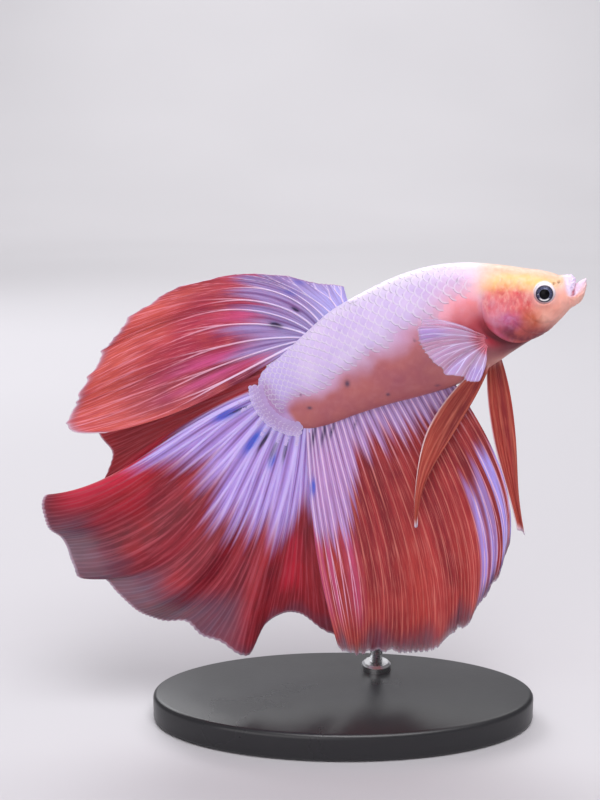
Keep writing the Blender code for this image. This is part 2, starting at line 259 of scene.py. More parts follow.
def gill_masks(z, gap, up, drift):
    """The slit behind the gill cover, dark red with painted shade, the flush of blood on both of
    its sides, and painted shade low behind the cover.
    """
    below = fade(0.15, -0.5, up) * fade(-0.995, -0.9, up)
    # the hollow under the cover's rear edge gets painted shade
    hollow = fade(0.40, 0.10, gap) * fade(0, 0.06, gap) * fade(0.0, -0.4, up)
    behind, ahead = fade(-0.02, 0.02, gap), fade(0.02, -0.02, gap)
    on_cover = 0.9 * fade(-0.4, 0.0, gap) + 0.8 * fade(-2.4, -0.8, gap) * fade(51.4, 49.8, z)
    flush = fade(1.5, 0.15, gap + 2 * drift) * behind + on_cover * ahead
    return {
        # slit: painted shade in the slit and its hollow, dark red
        "slit": np.minimum(1, line(gap - 0.08, 0.12) + 0.8 * hollow) * below,
        "flush": flush * fade(0.5, -0.15, up),
        # painted shade on the underside, low behind the gill cover
        "throat": fade(1.8, 0.2, gap) * fade(-0.45, -0.8, up) * behind,
        "chin": fade(52.0, 49.6, z) * fade(0.1, -0.4, gap),
    }


def markings(x, z, place, gap, up):
    """Masks from 0 to 1. gap is the place less the gill cover's edge, up is -1 on the belly."""
    drift = 0.1 * clouds(x * 0.7, z * 0.7, 3)
    eye = np.maximum(np.hypot(x - EYE[0], z - EYE[1]), 0.1)
    high = np.maximum((z - EYE[1] - 0.3 * (x - EYE[0])) / eye, -0.1)
    upper_lip = fade(6.6, 4.6, place) * fade(-0.5, 0.4, up)
    lower_lip = fade(4.6, 2.0, place) * fade(0.2, -0.4, up)
    spots = {name: patches(x, z, rows) for name, rows in PATCHES.items()}
    masks = {name: np.minimum(1, spot) for name, spot in spots.items()}
    masks["shoulder"] *= fade(0.0, 0.5, gap)
    masks["gold"] *= fade(1.02, 0.80, up)
    masks["blush"] = np.minimum(1, spots["blush"] * fade(0.3, -0.2, gap))
    for name in ("violet", "amber"):
        masks[name] *= fade(0.05, -0.1, gap)
    masks["rouge"] *= fade(-0.05, 0.2, gap)
    masks["mouth"] = spots["mouth"] + fade(1.08, 0.85, place)
    return masks | gill_masks(z, gap, up, drift) | {
        "belly": bareness(x, z, place, up) * fade(-0.1, 1.2, gap),
        "nape": fade(12.6, 17.5, x) * fade(-0.1, 0.75, up + drift),
        "lip": upper_lip + 0.8 * lower_lip,
        # orbit: the pale ring round the eye, widened and whitened above it as a painted highlight
        "orbit": fade(1.22 + 0.24 * high, 1.00 + 0.24 * high, eye) * (0.7 + 0.3 * high),
        "tail": fade(-3.5, -8.5, x),
        "stem": fade(19.7, 20.5, place) * fade(0.93, 0.7, up),
        # back: a painted highlight, the top of the back painted whiter as light from above falls
        # there
        "back": fade(0.72, 0.97, up) * fade(LAST_RING, GILL_RING, place),
        # dark specks on the skin, and painted shade in the two nostril pits
        "speck": sum(patch(x, z, (a, b), (c, d)) for a, b, c, d in SPECKS)
                 + 0.6 * sum(patch(x, z, hole, (0.10, 0.08)) for hole in NOSTRILS),
    }


print("masks:", ", ".join(markings(*np.zeros((5, 1)))))

# %% [markdown]
# ## Grids that become skins
#
# Both the skin and the fins start as a flat grid of faces. bmesh makes the grid, and each of
# its points is then moved to where a function puts it. The grid's own width and height are
# kept: they say where a point lies along the body or the fin, and they make a clean UV map.

# %% Helper that moves a grid
def grid_sheet(columns, rows, shape):
    """Sheet from a grid. shape(u, v) gives points in mm, masks, and u, v of the UV map."""
    bm = bmesh.new()
    bmesh.ops.create_grid(bm, x_segments=columns, y_segments=rows, size=0.5)
    bm.verts.index_update()
    u, v = np.array([vert.co[:2] for vert in bm.verts]).T + 0.5
    points, masks, (map_u, map_v) = shape(u, v)
    layers = [(bm.verts.layers.float.new(key), values) for key, values in masks.items()]
    for vert, place in zip(bm.verts, points * MM):
        vert.co = place
        for layer, values in layers:
            vert[layer] = values[vert.index]
    uv = bm.loops.layers.uv.new("OFBake")
    for face in bm.faces:
        face.smooth = True
        for loop in face.loops:
            i = loop.vert.index
            loop[uv].uv = (map_u[i], map_v[i])
    return bm


def show(name, made, sharp=None):
    """Object that shows a mesh or a finished bmesh and rides on the one body.

    With sharp, its faces are smooth but for edges of more than that many degrees."""
    mesh = made
    if isinstance(made, bmesh.types.BMesh):
        mesh = bpy.data.meshes.new(name)
        made.to_mesh(mesh)
        made.free()
    if sharp:
        mesh.shade_smooth()
        mesh.set_sharp_from_angle(angle=math.radians(sharp))
    piece = bpy.data.objects.new(name, mesh)
    bpy.context.scene.collection.objects.link(piece)
    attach(piece, "root")
    return piece


# %% [markdown]
# ## The skin
#
# On the real fish the skin runs without a seam from the lips to the tail, so one mesh
# replaces all the solids of flesh. The rings crowd together on the head, where the small
# forms are: the orbit round the eye, the two nostrils, the bony edges of the cheek, and the
# gill cover, a thin flap that lies over a slit. The rings are shifted so that one of them
# follows the flap's rear edge exactly, which lets the edge be sharp without a denser mesh.

# %% Rings that follow the gill cover
GILL_EDGE = (12.4, 12.45, 12.52, 12.62, 12.80, 12.78, 12.38, 11.75, 10.98, 10.3)
SKIN_RINGS, SKIN_SIDES = 380, 184
COAT_DEPTH = 0.07


def gill_edge(angle):
    """Place of the gill cover's rear edge at an angle round the body."""
    from_back = np.pi - np.abs(np.mod(angle, 2 * np.pi) - np.pi)
    return through(GILL_EDGE, from_back / np.pi * (len(GILL_EDGE) - 1))


def along_gill(ring, angle):
    """Place on the body of a point of a ring, once the rings follow the gill cover."""
    share = np.where(ring < GILL_RING, (ring / GILL_RING) ** 2,
                     fade(GILL_RING + 3.6, GILL_RING, ring))
    return ring + (gill_edge(angle) - GILL_RING) * share


def ring_spread(count):
    """Ring numbers, crowded on the head and most of all at the gill slit."""
    ring = np.linspace(0.0, LAST_RING, 3000)
    side = body(ring, np.full_like(ring, np.pi / 2))
    step = np.linalg.norm(np.diff(side, axis=0), axis=1)
    middle = (ring[1:] + ring[:-1]) / 2
    crowd = 1 + 1.6 * fade(13.4, 12.4, middle) + 6 * line(middle - GILL_RING - 0.05, 0.12)
    reach = np.concatenate([[0], np.cumsum((step + 0.002) * crowd)])
    return np.interp(np.linspace(0, reach[-1], count), reach, ring)


print("gill edge rings:", GILL_EDGE[0], "to", GILL_EDGE[-1])

# %% Relief of the skin
# Each function says how far the skin stands out from the plain body, in mm.
def eye_relief(eye):
    """A hollow for the eyeball, a raised rim and a faint furrow round it."""
    rim, furrow = line(eye - 1.30, 0.17), line(eye - 1.80, 0.30)
    return -1.3 * fade(1.16, 1.00, eye) + 0.05 * rim - 0.05 * furrow


def nostril_relief(x, z):
    pits = [np.hypot(x - hole[0], z - hole[1]) for hole in NOSTRILS]
    return sum(0.07 * line(pit - 0.22, 0.08) - 0.24 * line(pit, 0.12) for pit in pits)


def flap_relief(gap, up):
    """The gill cover's rear edge stands over the slit behind it, most of all below."""
    low, high = fade(0.0, -0.55, up) * fade(-0.99, -0.85, up), fade(0.75, 0.4, up)
    rise = fade(-1.1, -0.05, gap) * fade(0.02, -0.02, gap)
    sink = fade(-0.02, 0.03, gap) * fade(0.60, 0.05, gap)
    return (0.13 * low + 0.006 * high) * rise - (0.26 * low + 0.004 * high) * sink


def cheek_relief(x, z, ring, gap, up, eye):
    """Edges of the cheek's bones, the swell of the gill cover and uneven skin over them."""
    low_side = fade(54.6, 53.2, z) * fade(0.1, -0.2, gap)
    cheek, bone = np.hypot(x - 22.9, z - 53.7), np.hypot(x - 22.6, z - 53.5)
    height = -0.07 * line(cheek - 2.65, 0.16) * low_side
    height -= 0.06 * line(bone - 3.85, 0.14) * low_side * fade(47.5, 50, z)
    height += 0.12 * patch(x, z, (18.1, 52.2), (1.3, 1.7)) * fade(0, -0.3, gap)
    height += 0.22 * patch(x, z, (16.1, 48.8), (0.6, 0.9)) * fade(0.2, 0.6, gap)
    uneven = 0.035 * clouds(x * 2.2, z * 2.2, 11)
    uneven += 0.03 * clouds(x * 5 - z * 2, z * 3, 12) * fade(1.7, 2.2, eye)
    return height + uneven * fade(6, 9, ring) * fade(0, -0.4, gap) * fade(0.9, 0.6, up)


def lip_relief(x, z, ring, up):
    """A full upper lip, the furrows behind both lips, and their lumps and creases."""
    height = 0.10 * line(ring - 3.6, 1.0) * fade(0.2, 0.8, up)
    height -= 0.06 * line(ring - 5.3, 0.5) * fade(0.0, 0.6, up)
    height -= 0.05 * line(ring - 6.2, 0.5) * fade(0.1, -0.5, up) * fade(-1.0, -0.8, up)
    lumps = clouds(x * 3.4, z * 3.4 + 9 * up, 13) + 0.6 * clouds(x * 7.0, z * 7.0 + 14 * up, 14)
    creases = waves(up * 9.0 + 30, 15) + 0.6 * waves(up * 19.0 + 60, 16)
    rough = (0.08 + 0.06 * fade(0.0, 0.7, up)) * lumps * line(ring - 3.2, 1.5)
    rough += 0.035 * creases * line(ring - 2.8, 1.3)
    return height + rough * fade(1.0, 1.8, ring)


def relief(x, z, ring, up):
    """All of it, less the depth of the coat where scales lie."""
    eye, gap = np.hypot(x - EYE[0], z - EYE[1]), ring - GILL_RING
    nape = fade(10.2, 10.9, ring) * fade(0.35, 0.6, up)
    return (eye_relief(eye) + nostril_relief(x, z) + flap_relief(gap, up)
            + cheek_relief(x, z, ring, gap, up, eye) + lip_relief(x, z, ring, up)
            - COAT_DEPTH * np.maximum(fade(-0.05, 0.1, gap), nape))


print("the skin sinks", round(float(-relief(*np.array([[EYE[0]], [EYE[1]], [9.0], [0.3]]))[0]), 2),
      "mm under the eye")

# %% [markdown]
# One sheet becomes a tube when its long edges are joined. The height of the relief moves each
# point straight out of the body, and the first and last rings are drawn to a point, inside
# the mouth and inside the tail fin.

# %% Make the skin
def skin_shape(u, v):
    """Points, masks and UV map of the skin, from the grid's u along and v around."""
    count = SKIN_RINGS + 1
    row = np.rint(u * SKIN_RINGS).astype(int)
    ring = ring_spread(count)[row]
    angle = v * 2 * np.pi
    place = along_gill(ring, angle)
    tuck = 0.05 * line(ring - GILL_RING - 0.045, 0.03) * fade(0.5, 0.1, np.cos(angle))
    place = place - tuck
    points = body(place, angle)
    x, z, up = points[:, 0].copy(), points[:, 2].copy(), np.cos(angle)
    _, _, out = outward(np.clip(place, 0.02, LAST_RING - 0.02), angle)
    points = points + out * relief(x, z, ring, up)[:, None]
    for end in (0, SKIN_RINGS):
        points[row == end] = points[row == end].mean(axis=0)
    return turned(points), markings(x, z, place, ring - GILL_RING, up), (u, v)


bm = grid_sheet(SKIN_RINGS, SKIN_SIDES, skin_shape)
bmesh.ops.remove_doubles(bm, verts=bm.verts, dist=1e-7)
bmesh.ops.dissolve_degenerate(bm, edges=bm.edges, dist=1e-8)
bmesh.ops.recalc_face_normals(bm, faces=bm.faces)
skin = show("skin", bm)
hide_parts("head", "lower_jaw", "gill_cover_left", "gill_cover_right", "trunk",
            "tail_peduncle")
print("skin:", len(skin.data.vertices), "points")

# %% [markdown]
# ## The coat of scales
#
# A scale is a thin oval plate, rooted at its front edge and free at its rear. The plates lie
# in staggered rows and overlap like roof tiles, so only a rounded rear part of each shows.
# One small plate is modelled: a ball with few faces, pressed flat. An Array modifier makes all
# the copies at once, and every copy is then wrapped round the body at its own place and size:
# its points are laid along, round and out of the body, so a big scale bends with the flank.

# %% One scale
SCALE_SIDES, SCALE_LAYERS = 16, 4
bm = bmesh.new()
bmesh.ops.create_uvsphere(bm, u_segments=SCALE_SIDES, v_segments=SCALE_LAYERS, radius=1.0)
for vert in bm.verts:
    x, y, z = vert.co
    reach = math.hypot(x, y)
    spread = 0.0 if reach < 0.01 else (0.93 if reach < 0.8 else 1.0) / reach
    vert.co = (x * spread, y * spread, z)
plate = bpy.data.meshes.new("plate")
bm.to_mesh(plate)
bm.free()
print("one scale has", len(plate.polygons), "faces")

# %% [markdown]
# Scales grow in columns, each shifted by half a scale against the one before. A column has
# as many scales at the thin tail as at the deep chest, so they shrink towards the tail, as
# the real ones do. None grow where the belly or the gill cover is bare.

# %% Where the scales grow
SCALE_ROWS = 12               # on each side
SCALE_STEP = 0.46             # columns advance by this share of a row's height
SCALE_SIZE = (0.70, 0.60)     # half length and half height, as shares of a row's height
SCALE_TILT = 6                # degrees that a scale may lean
SCALES_FROM, SCALES_END = 11.5, LAST_RING - 1.3
SMALLEST_LIFT = 0.10          # a scale with less than this lift is left out


def side_spread():
    """Tables of ring, angle and distance round the ring from the back, for one side."""
    ring = np.linspace(9.0, LAST_RING, 141)
    angle = np.linspace(0, np.pi, 181)
    points = body(*np.meshgrid(ring, angle, indexing="ij"))
    steps = np.linalg.norm(np.diff(points, axis=1), axis=2)
    return ring, angle, np.concatenate([np.zeros((len(ring), 1)), np.cumsum(steps, 1)], 1)


def scale_lift(ring, angle):
    """How far the scale at this place is out: 1 in full, 0 where the skin is bare."""
    ring, angle = np.array([ring]), np.array([angle])
    x, _, z = body(ring, angle).T
    up, behind = np.cos(angle), ring - gill_edge(angle)
    bare_gill = fade(1.0, 0.15, behind) * fade(0.55, 0.2, up)
    lift = (1 - bareness(x, z, ring, up)) * (1 - bare_gill) * fade(11.2, 14.0, ring)
    return float(lift[0])


def grow_scales():
    """Rows of (ring, angle, half length, half height, lift, shade, tilt) for all the scales."""
    rng = np.random.default_rng(5)
    rings, angles, reach = side_spread()
    middle = body(rings, np.full_like(rings, np.pi / 2))
    travel = np.concatenate([[0], np.cumsum(np.linalg.norm(np.diff(middle, axis=0), axis=1))])
    grown = []
    ring, column = SCALES_FROM, 0
    while ring < SCALES_END:
        girth = np.array([np.interp(ring, rings, reach[:, k]) for k in range(len(angles))])
        height = girth[-1] / SCALE_ROWS
        for row in range(SCALE_ROWS + 1):
            share = (row + 0.5 * (column % 2)) / SCALE_ROWS
            if share > 1.0:
                continue
            angle = np.interp(share * girth[-1], girth, angles)
            lift = scale_lift(ring, angle)
            if lift < SMALLEST_LIFT:
                continue
            size = height * (1 + 0.05 * rng.uniform(-1, 1))
            for side in (1, -1):
                if side < 0 and share in (0, 1):
                    continue
                grown.append((ring, side * angle, SCALE_SIZE[0] * size, SCALE_SIZE[1] * size, lift,
                              rng.uniform(-1, 1), rng.uniform(-SCALE_TILT, SCALE_TILT)))
        ring = np.interp(np.interp(ring, rings, travel) + SCALE_STEP * height, travel, rings)
        column += 1
    return grown


grown = grow_scales()
print("scales:", len(grown))

# %% Lay the scales on the body
PLATE_THICKNESS = 0.012
PLATE_LIFT = 0.014            # how far the free edge stands up
PLATE_PATCH = 0.0015          # half width of a scale's place on the UV map


def plate_copies(name, amount):
    """Mesh with an amount of copies of the plate, and each point's place in its own plate."""
    holder = bpy.data.objects.new("holder", plate)
    bpy.context.scene.collection.objects.link(holder)
    copies = holder.modifiers.new("copies", "ARRAY")
    copies.count = amount
    copies.use_relative_offset = False
    evaluated = holder.evaluated_get(bpy.context.evaluated_depsgraph_get())
    mesh = bpy.data.meshes.new_from_object(evaluated)
    bpy.data.objects.remove(holder)
    mesh.name = name
    local = np.zeros(len(mesh.vertices) * 3)
    mesh.vertices.foreach_get("co", local)
    return mesh, local.reshape(-1, 3)


def finish_plates(mesh, points, masks, roots, local):
    """Set the points in mm, the masks, and a small patch of the UV map for each plate."""
    mesh.vertices.foreach_set("co", (turned(points) * MM).ravel())
    for key, values in masks.items():
        layer = mesh.attributes.new(key, "FLOAT", "POINT")
        layer.data.foreach_set("value", values.astype(np.float32))
    corner = np.zeros(len(mesh.loops), int)
    mesh.loops.foreach_get("vertex_index", corner)
    flat = roots + local[:, :2] * PLATE_PATCH
    uv = mesh.uv_layers.new(name="OFBake")
    uv.data.foreach_set("uv", flat[corner].astype(np.float32).ravel())
    mesh.shade_smooth()


def lay_scales(grown):
    """One mesh of all the scales."""
    mesh, local = plate_copies("scales", len(grown))
    rows = np.repeat(np.array(grown), len(plate.vertices), axis=0)
    ring, angle, half_length, half_height, lift, shade, tilt = rows.T
    along, around, out = outward(ring, angle)
    forward = along / np.linalg.norm(along, axis=1, keepdims=True)
    sideways = np.cross(out, forward)
    c, s = np.cos(np.radians(tilt)), np.sin(np.radians(tilt))
    a, b = local[:, 0] * half_length, local[:, 1] * half_height
    offset = forward * (a * c - b * s)[:, None] + sideways * (a * s + b * c)[:, None]
    # Solve offset = ring_step * along + angle_step * around.
    aa, ab, bb = (along * along).sum(1), (along * around).sum(1), (around * around).sum(1)
    oa, ob = (offset * along).sum(1), (offset * around).sum(1)
    det = np.maximum(aa * bb - ab * ab, 1e-9)
    ring_at = ring + (oa * bb - ob * ab) / det
    angle_at = angle + (ob * aa - oa * ab) / det
    ring_at = np.clip(ring_at, 0.1, LAST_RING - 0.02)
    points = body(ring_at, angle_at)
    _, _, out_at = outward(ring_at, angle_at)
    rise = fade(-1.0, 0.9, local[:, 0])
    reach = np.hypot(local[:, 0], local[:, 1])
    dome = 0.02 * (1 - reach ** 2)
    height = lift ** 2 * (PLATE_LIFT * rise + dome + 0.5 * PLATE_THICKNESS * local[:, 2])
    height = height - COAT_DEPTH - 0.02 * (1 - lift) - 0.04 * fade(0.2, -0.9, local[:, 0])
    masks = markings(points[:, 0], points[:, 2], ring_at, ring_at - gill_edge(angle_at),
                     np.cos(angle_at))
    masks.update(rim=reach, rear=local[:, 0], shade=shade, shine=lift)
    roots = np.stack([ring / LAST_RING, np.mod(angle, 2 * np.pi) / (2 * np.pi)], 1)
    finish_plates(mesh, points + out_at * height[:, None], masks, roots, local)
    return mesh


scales = show("scales", lay_scales(grown))
print("scales:", len(scales.data.polygons), "faces")

# %% [markdown]
# ## Fins
#
# A fin is a thin skin over rays. Every ray starts as one rod at the root and splits again and
# again on its way to the edge, so that the spread fin stays evenly supported. A grid carries
# all of this: its columns cross the rays and its rows run out along them. The rays are not
# separate rods but places where the sheet is thick, because that is how they look and feel.
#
# Each fin has a few guide rays. A guide ray has a length and a heading at its root, middle and
# tip (degrees, 0 forward, 90 up), and "fold" is how far its tip stands off to the left. The
# fin flows smoothly from one guide ray to the next. "tips" makes a margin more uneven, with
# points and notches finer than the guide rays.

# %% Guide rays
DORSAL = {
    "length": (1.8, 2.7, 6.2, 10.8, 18.6, 22.2, 24.6, 26.6, 28.5, 29.6, 26.8),
    "root": (106, 120, 134, 133, 125, 135, 147, 165, 186, 200, 217),
    "middle": (106, 123, 147, 154, 176, 185, 190, 196, 200, 204, 205),
    "tip": (106, 123, 142, 180, 192, 199, 208, 207, 199, 190, 189),
    "fold": (0, 0, -0.2, -0.4, -0.7, -1.3, -0.9, -1.6, -1.1, -1.9, -2.6),
    "tips": (-0.55, -0.4, -0.2, -0.2, -0.35, -0.2, 0.65, 0.9, 1.0, 0.85, 0.75, 0.4, 0.95, 0.6,
             1.05, 1.35, 0.45, 0.7, 0.65, 0.7, 0.45, 0.3, 0.25, 0.4, -0.35, -0.15, -0.15, -0.5,
             -0.8, -1.2, -1.5, -1.8, -2.0),
}
CAUDAL = {
    "length": (17.3, 19.4, 20.0, 19.4, 25.0, 29.0, 30.3, 30.2, 31.7, 31.2, 29.8, 29.2, 28.7,
               29.6, 26.3, 23.3, 26.4),
    "root": (158, 172, 188, 191, 190, 190, 202, 218, 227, 233, 241, 250, 257, 268, 274, 276,
             276),
    "middle": (165, 184, 196, 206, 215, 210, 216, 219, 226, 234, 242, 247, 253, 256, 261, 271,
               280),
    "tip": (180, 196, 199, 208, 222, 182, 182, 182, 173, 170, 186, 203, 225, 258, 257, 268, 282),
    "fold": (2.6, 3.0, 3.2, 3.0, 2.2, -1.8, -1.0, 0.6, -0.8, 0.8, -0.8, 0.8, -1.6, -2.4, 0.6,
             2.4, 2.2),
    "tips": (0, 0, 0, 0, 0, 0, 0, 0, 0, 0, -1.2, -0.8, -0.3, 0, 0, -0.45, -0.3, 0.8, -0.5,
             0.15, 0.8, 1.2, 1.1, -0.5, -0.25, -1.45, -1.0, 0.2, -1.0, -0.6, 0.65, 1.4, 0.8),
}
ANAL = {
    "length": (20.3, 23.9, 27.2, 29.2, 30.0, 30.9, 31.2, 29.7, 29.7, 28.5, 27.0),
    "root": (304, 300, 299, 301, 298, 296, 291, 284, 281, 276, 271),
    "middle": (293, 294, 291, 289, 289, 288, 285, 284, 282, 280, 278),
    "tip": (263, 256, 254, 260, 263, 263, 263, 262, 266, 280, 288),
    "fold": (-0.2, -0.7, 0.3, -0.7, 0.6, -0.9, 0.7, -0.8, 0.3, -1.3, -2.4),
}
PELVIC_RIGHT = {
    "length": (18.9, 20.8, 20.7, 18.7),
    "root": (219, 233, 247, 255),
    "middle": (246, 246, 245, 241),
    "tip": (274, 273, 274, 270),
    "fold": (-0.9, -1.2, -0.8, -1.1),
}
PELVIC_LEFT = {
    "length": (20.0, 20.6, 21.4, 21.9),
    "root": (268, 274, 281, 291),
    "middle": (283, 282, 280, 276),
    "tip": (283, 284, 284, 283),
    "fold": (0.9, 1.3, 0.9, 1.2),
}
PECTORAL = {
    "length": (7.8, 8.0, 7.4, 6.3, 5.2, 4.2, 3.4),
    "root": (147, 158, 172, 189, 209, 229, 285),
    "middle": (163, 172, 185, 201, 219, 240, 258),
    "tip": (184, 186, 198, 217, 235, 248, 246),
    "fold": (1.6, 2.0, 1.7, 2.0, 1.7, 1.5, 1.2),
}
FOLD_POWER = 1.4
print("guide rays:", sum(len(fin["length"]) for fin in
                         (DORSAL, CAUDAL, ANAL, PELVIC_RIGHT, PELVIC_LEFT, PECTORAL)))

# %% [markdown]
# The dorsal and anal fins follow the outline of the body, a little inside it, so that no gap
# shows. The tail fin starts on an arc, because the last bones of a tail spread like a fan.

# %% Where the fins are rooted
def outline_root(first, last, crowding, back, lift):
    """Roots along the back or the belly, lift mm out of the body's outline."""
    def root_of(u):
        place = first + (last - first) * (1 - (1 - u) ** crowding) + len(MOUTH) - 3
        ring = through(RINGS, place)
        top, low = ring[:, 0:2], ring[:, 2:4]
        out = (top - low) / np.linalg.norm(top - low, axis=1, keepdims=True)
        return top + out * lift if back else low - out * lift
    return root_of


def anal_root(u):
    return outline_root(8.05, 13.4, 1.0, False, -0.5)(u ** 1.1)


TAIL_CENTRE = (-5.3, 42.9)


def tail_arc(u, radius, first, last):
    """Points of an arc round the middle of the tail's root."""
    angle = np.radians(first + (last - first) * u)
    return np.stack([TAIL_CENTRE[0] + radius * np.cos(angle),
                     TAIL_CENTRE[1] + radius * np.sin(angle)], 1)


def caudal_root(u):
    return tail_arc(u, 5.9, 180, 270)


def caudal_sunk(u):
    """The rays really start deeper, inside the tail, and over a wider arc."""
    return tail_arc(u, 4.0, 146, 292)


def right_pelvic_root(u):
    return np.stack([16.5 + 1.0 * (u - 0.5), 46.1 + 0.3 * (u - 0.5)], 1)


def left_pelvic_root(u):
    return np.stack([17.3 + 1.4 * (u - 0.5), 46.4 + 0.84 * (u - 0.5)], 1)


def pectoral_root(u):
    return np.stack([16.2 + 0.2 * u, 48.9 + 1.3 * (0.5 - u)], 1)


print("the tail fin's root spans", np.round(caudal_root(np.array([0.0, 1.0])), 1).tolist())

# %% [markdown]
# A ray splits in two, and each half in two again. Measured across the fin, that is a fold of
# the distance to the main ray: the distance to the nearer of two branches at +d and -d is
# ||x| - d|. Fold it three times and one main ray has become eight.

# %% Rays that branch
def ray_distance(across, along, splits):
    """Distance to the nearest ray and the most it can be. Main rays are 1 apart."""
    distance, most = np.abs(np.mod(across, 1.0) - 0.5), 0.5
    gap = 0.25
    for split in splits:
        opened = gap * fade(split - 0.1, split + 0.35, along)
        distance, most = np.abs(distance - opened), most - opened
        gap /= 2
    return distance, most


TIP_GAP = 2 * float(ray_distance(0.5, 1.0, (0.1, 0.3, 0.6))[1])
print("one main ray ends as", round(1 / TIP_GAP), "tips")

# %% [markdown]
# A table of looks says how a fin differs from the plain case: how rooted it is in the body,
# how ragged its margin is, how it is pleated, and how thick its rays and its skin are.

# %% Shape of a fin
LOOK = {
    "masks": None,             # function that gives the fin's colour masks
    "rooted": 0.0,             # mm that the rays start inside the body
    "sunk": None,              # function for deeper roots, if the rays start inside the tail
    "margin": 0.2, "lobes": 1.0, "spikes": 0.0,     # mm of fray between rays, lobes and points
    "taper": 0.0,              # how far the tips draw together
    "off": 0.0, "off_root": None,                   # mm to the side, and at the root
    "pleat": 0.3, "folds": 10,                      # depth in mm and number of the pleats
    "ray_width": 0.26, "root_slim": 1,              # mm across a ray, more where slim is low
    "ridge": 0.05,             # mm that a ray stands out of the skin
    "rods": 0.26, "slimming": 1.0,                  # thickness of the rays, and its fall
    "thick": 0.6, "membrane": 0.15,                 # full thickness in mm, and the skin's share
}
# Masks that a fin's own function may leave out.
PLAIN_MASKS = ("front", "blue", "dark", "frost", "bright", "clear", "deep", "hot")
ROOT_END = 0.16                # the first share of a ray, where the body holds it


def frayed_margin(fin, look, spread, across, rays):
    """What each column gains or loses at the fin's margin, in mm."""
    count, splits, seed = rays
    ends, _ = ray_distance(across, np.ones_like(across), splits)
    frayed = look["margin"] * (line(ends, 0.05) - 0.5) * (1 + waves(spread * count * 0.9, seed + 4))
    frayed += look["lobes"] * look["margin"] * waves(spread * count * 1.3, seed + 1)
    main = line(np.mod(across, 1.0) - 0.5, 0.10)
    frayed += look["spikes"] * main * fade(0.30, 0.42, spread) * fade(0.95, 0.8, spread)
    tips = fin.get("tips", (0, 0))
    return frayed + through(tips, spread * (len(tips) - 1))


def fin_outline(fin, look, root_of, spread, rows, frayed):
    """x and z of the fin's points, and v, length and fold, in columns and rows."""
    place = spread * (len(fin["length"]) - 1)
    length, first, middle, last, fold = (through(fin[key], place)[:, None] for key in
                                         ("length", "root", "middle", "tip", "fold"))
    length = length + look["rooted"] + frayed[:, None]
    f = (np.arange(rows) + 0.5)[None, :] / rows
    heading = np.radians(first + f * (4 * middle - 3 * first - last)
                         + 2 * f * f * (first - 2 * middle + last))
    start = root_of(spread)
    nothing = np.zeros((len(spread), 1))
    x = start[:, :1] + np.cumsum(np.hstack([nothing, np.cos(heading) * length / rows]), 1)
    z = start[:, 1:] + np.cumsum(np.hstack([nothing, np.sin(heading) * length / rows]), 1)
    v = np.linspace(0, 1, rows + 1)[None, :] + nothing
    if look["taper"]:
        pull = look["taper"] * fade(0.45, 1.0, v)
        x, z = (flat + (flat.mean(axis=0) - flat) * pull for flat in (x, z))
    if look["sunk"]:
        shift = (look["sunk"](spread) - start)[:, None, :] * ((1 - v) ** 3)[..., None]
        x, z = x + shift[..., 0], z + shift[..., 1]
    return x, z, v, length, fold


def fin_side(look, u, v, fold, ray, seed):
    """How far the fin stands to the side: its fold, its pleats and the ridges of its rays."""
    off, pleat, folds = look["off"], look["pleat"], look["folds"]
    y = off + fold * v ** FOLD_POWER
    if look["off_root"] is not None:
        y = y - (off - look["off_root"]) * fade(ROOT_END, 0.0, v)
    y = y + pleat * v ** 1.3 * waves(u * folds + 0.5 * v, seed + 2)
    y = y + 0.14 * pleat * v ** 2 * waves(u * 2.6 * folds - 0.9 * v, seed + 3)
    return y - look["ridge"] * ray * np.minimum(1, 3 * v) * (1 - 0.7 * v)


def fin_points(fin, root_of, grid, rays, look, side):
    """Points and masks of a fin, in columns and rows."""
    columns, rows = grid
    count, splits, seed = rays
    spread = np.linspace(0, 1, columns + 1)
    across = spread * count + 0.22 * waves(spread * count * 0.7, seed)
    frayed = frayed_margin(fin, look, spread, across, rays)
    x, z, v, length, fold = fin_outline(fin, look, root_of, spread, rows, frayed)
    u, cross = spread[:, None] + 0 * v, across[:, None] + 0 * v
    nearest, most = ray_distance(cross, v, splits)
    width = np.hypot(np.gradient(x, axis=0), np.gradient(z, axis=0)) * columns / count
    ray = fade(look["ray_width"], 0.03, nearest * width * (look["root_slim"] + 0.9 * v))
    y = fin_side(look, u, v, fold, ray, seed)
    rods = look["rods"] * ray * (1 - v) ** look["slimming"]
    masks = {key: 0 * v for key in PLAIN_MASKS} | look["masks"](u, v, cross, ray, x, z) | {
        "ray": ray, "gap": fade(0.60, 0.98, nearest / most), "across": cross,
        "along": v * length, "rim": fade(0.986, 0.998, v),
        "wall": look["membrane"] + rods + 0.32 * fade(ROOT_END, 0.0, v)}
    return turned(np.stack([x, side * y, z], -1)), masks


def thicken(piece, thick):
    """Modifier that gives a fin its thickness, point by point as the wall mask says."""
    mesh = piece.data
    wall = np.zeros(len(mesh.vertices), np.float32)
    mesh.attributes["wall"].data.foreach_get("value", wall)
    wall = np.round(wall, 2)
    group = piece.vertex_groups.new(name="thick")
    for level in np.unique(wall):
        which = np.flatnonzero(wall == level)
        group.add([int(i) for i in which], float(min(level, 1.0)), "REPLACE")
    solid = piece.modifiers.new("thickness", "SOLIDIFY")
    solid.thickness = thick * MM
    solid.offset = 0.0
    solid.vertex_group = group.name


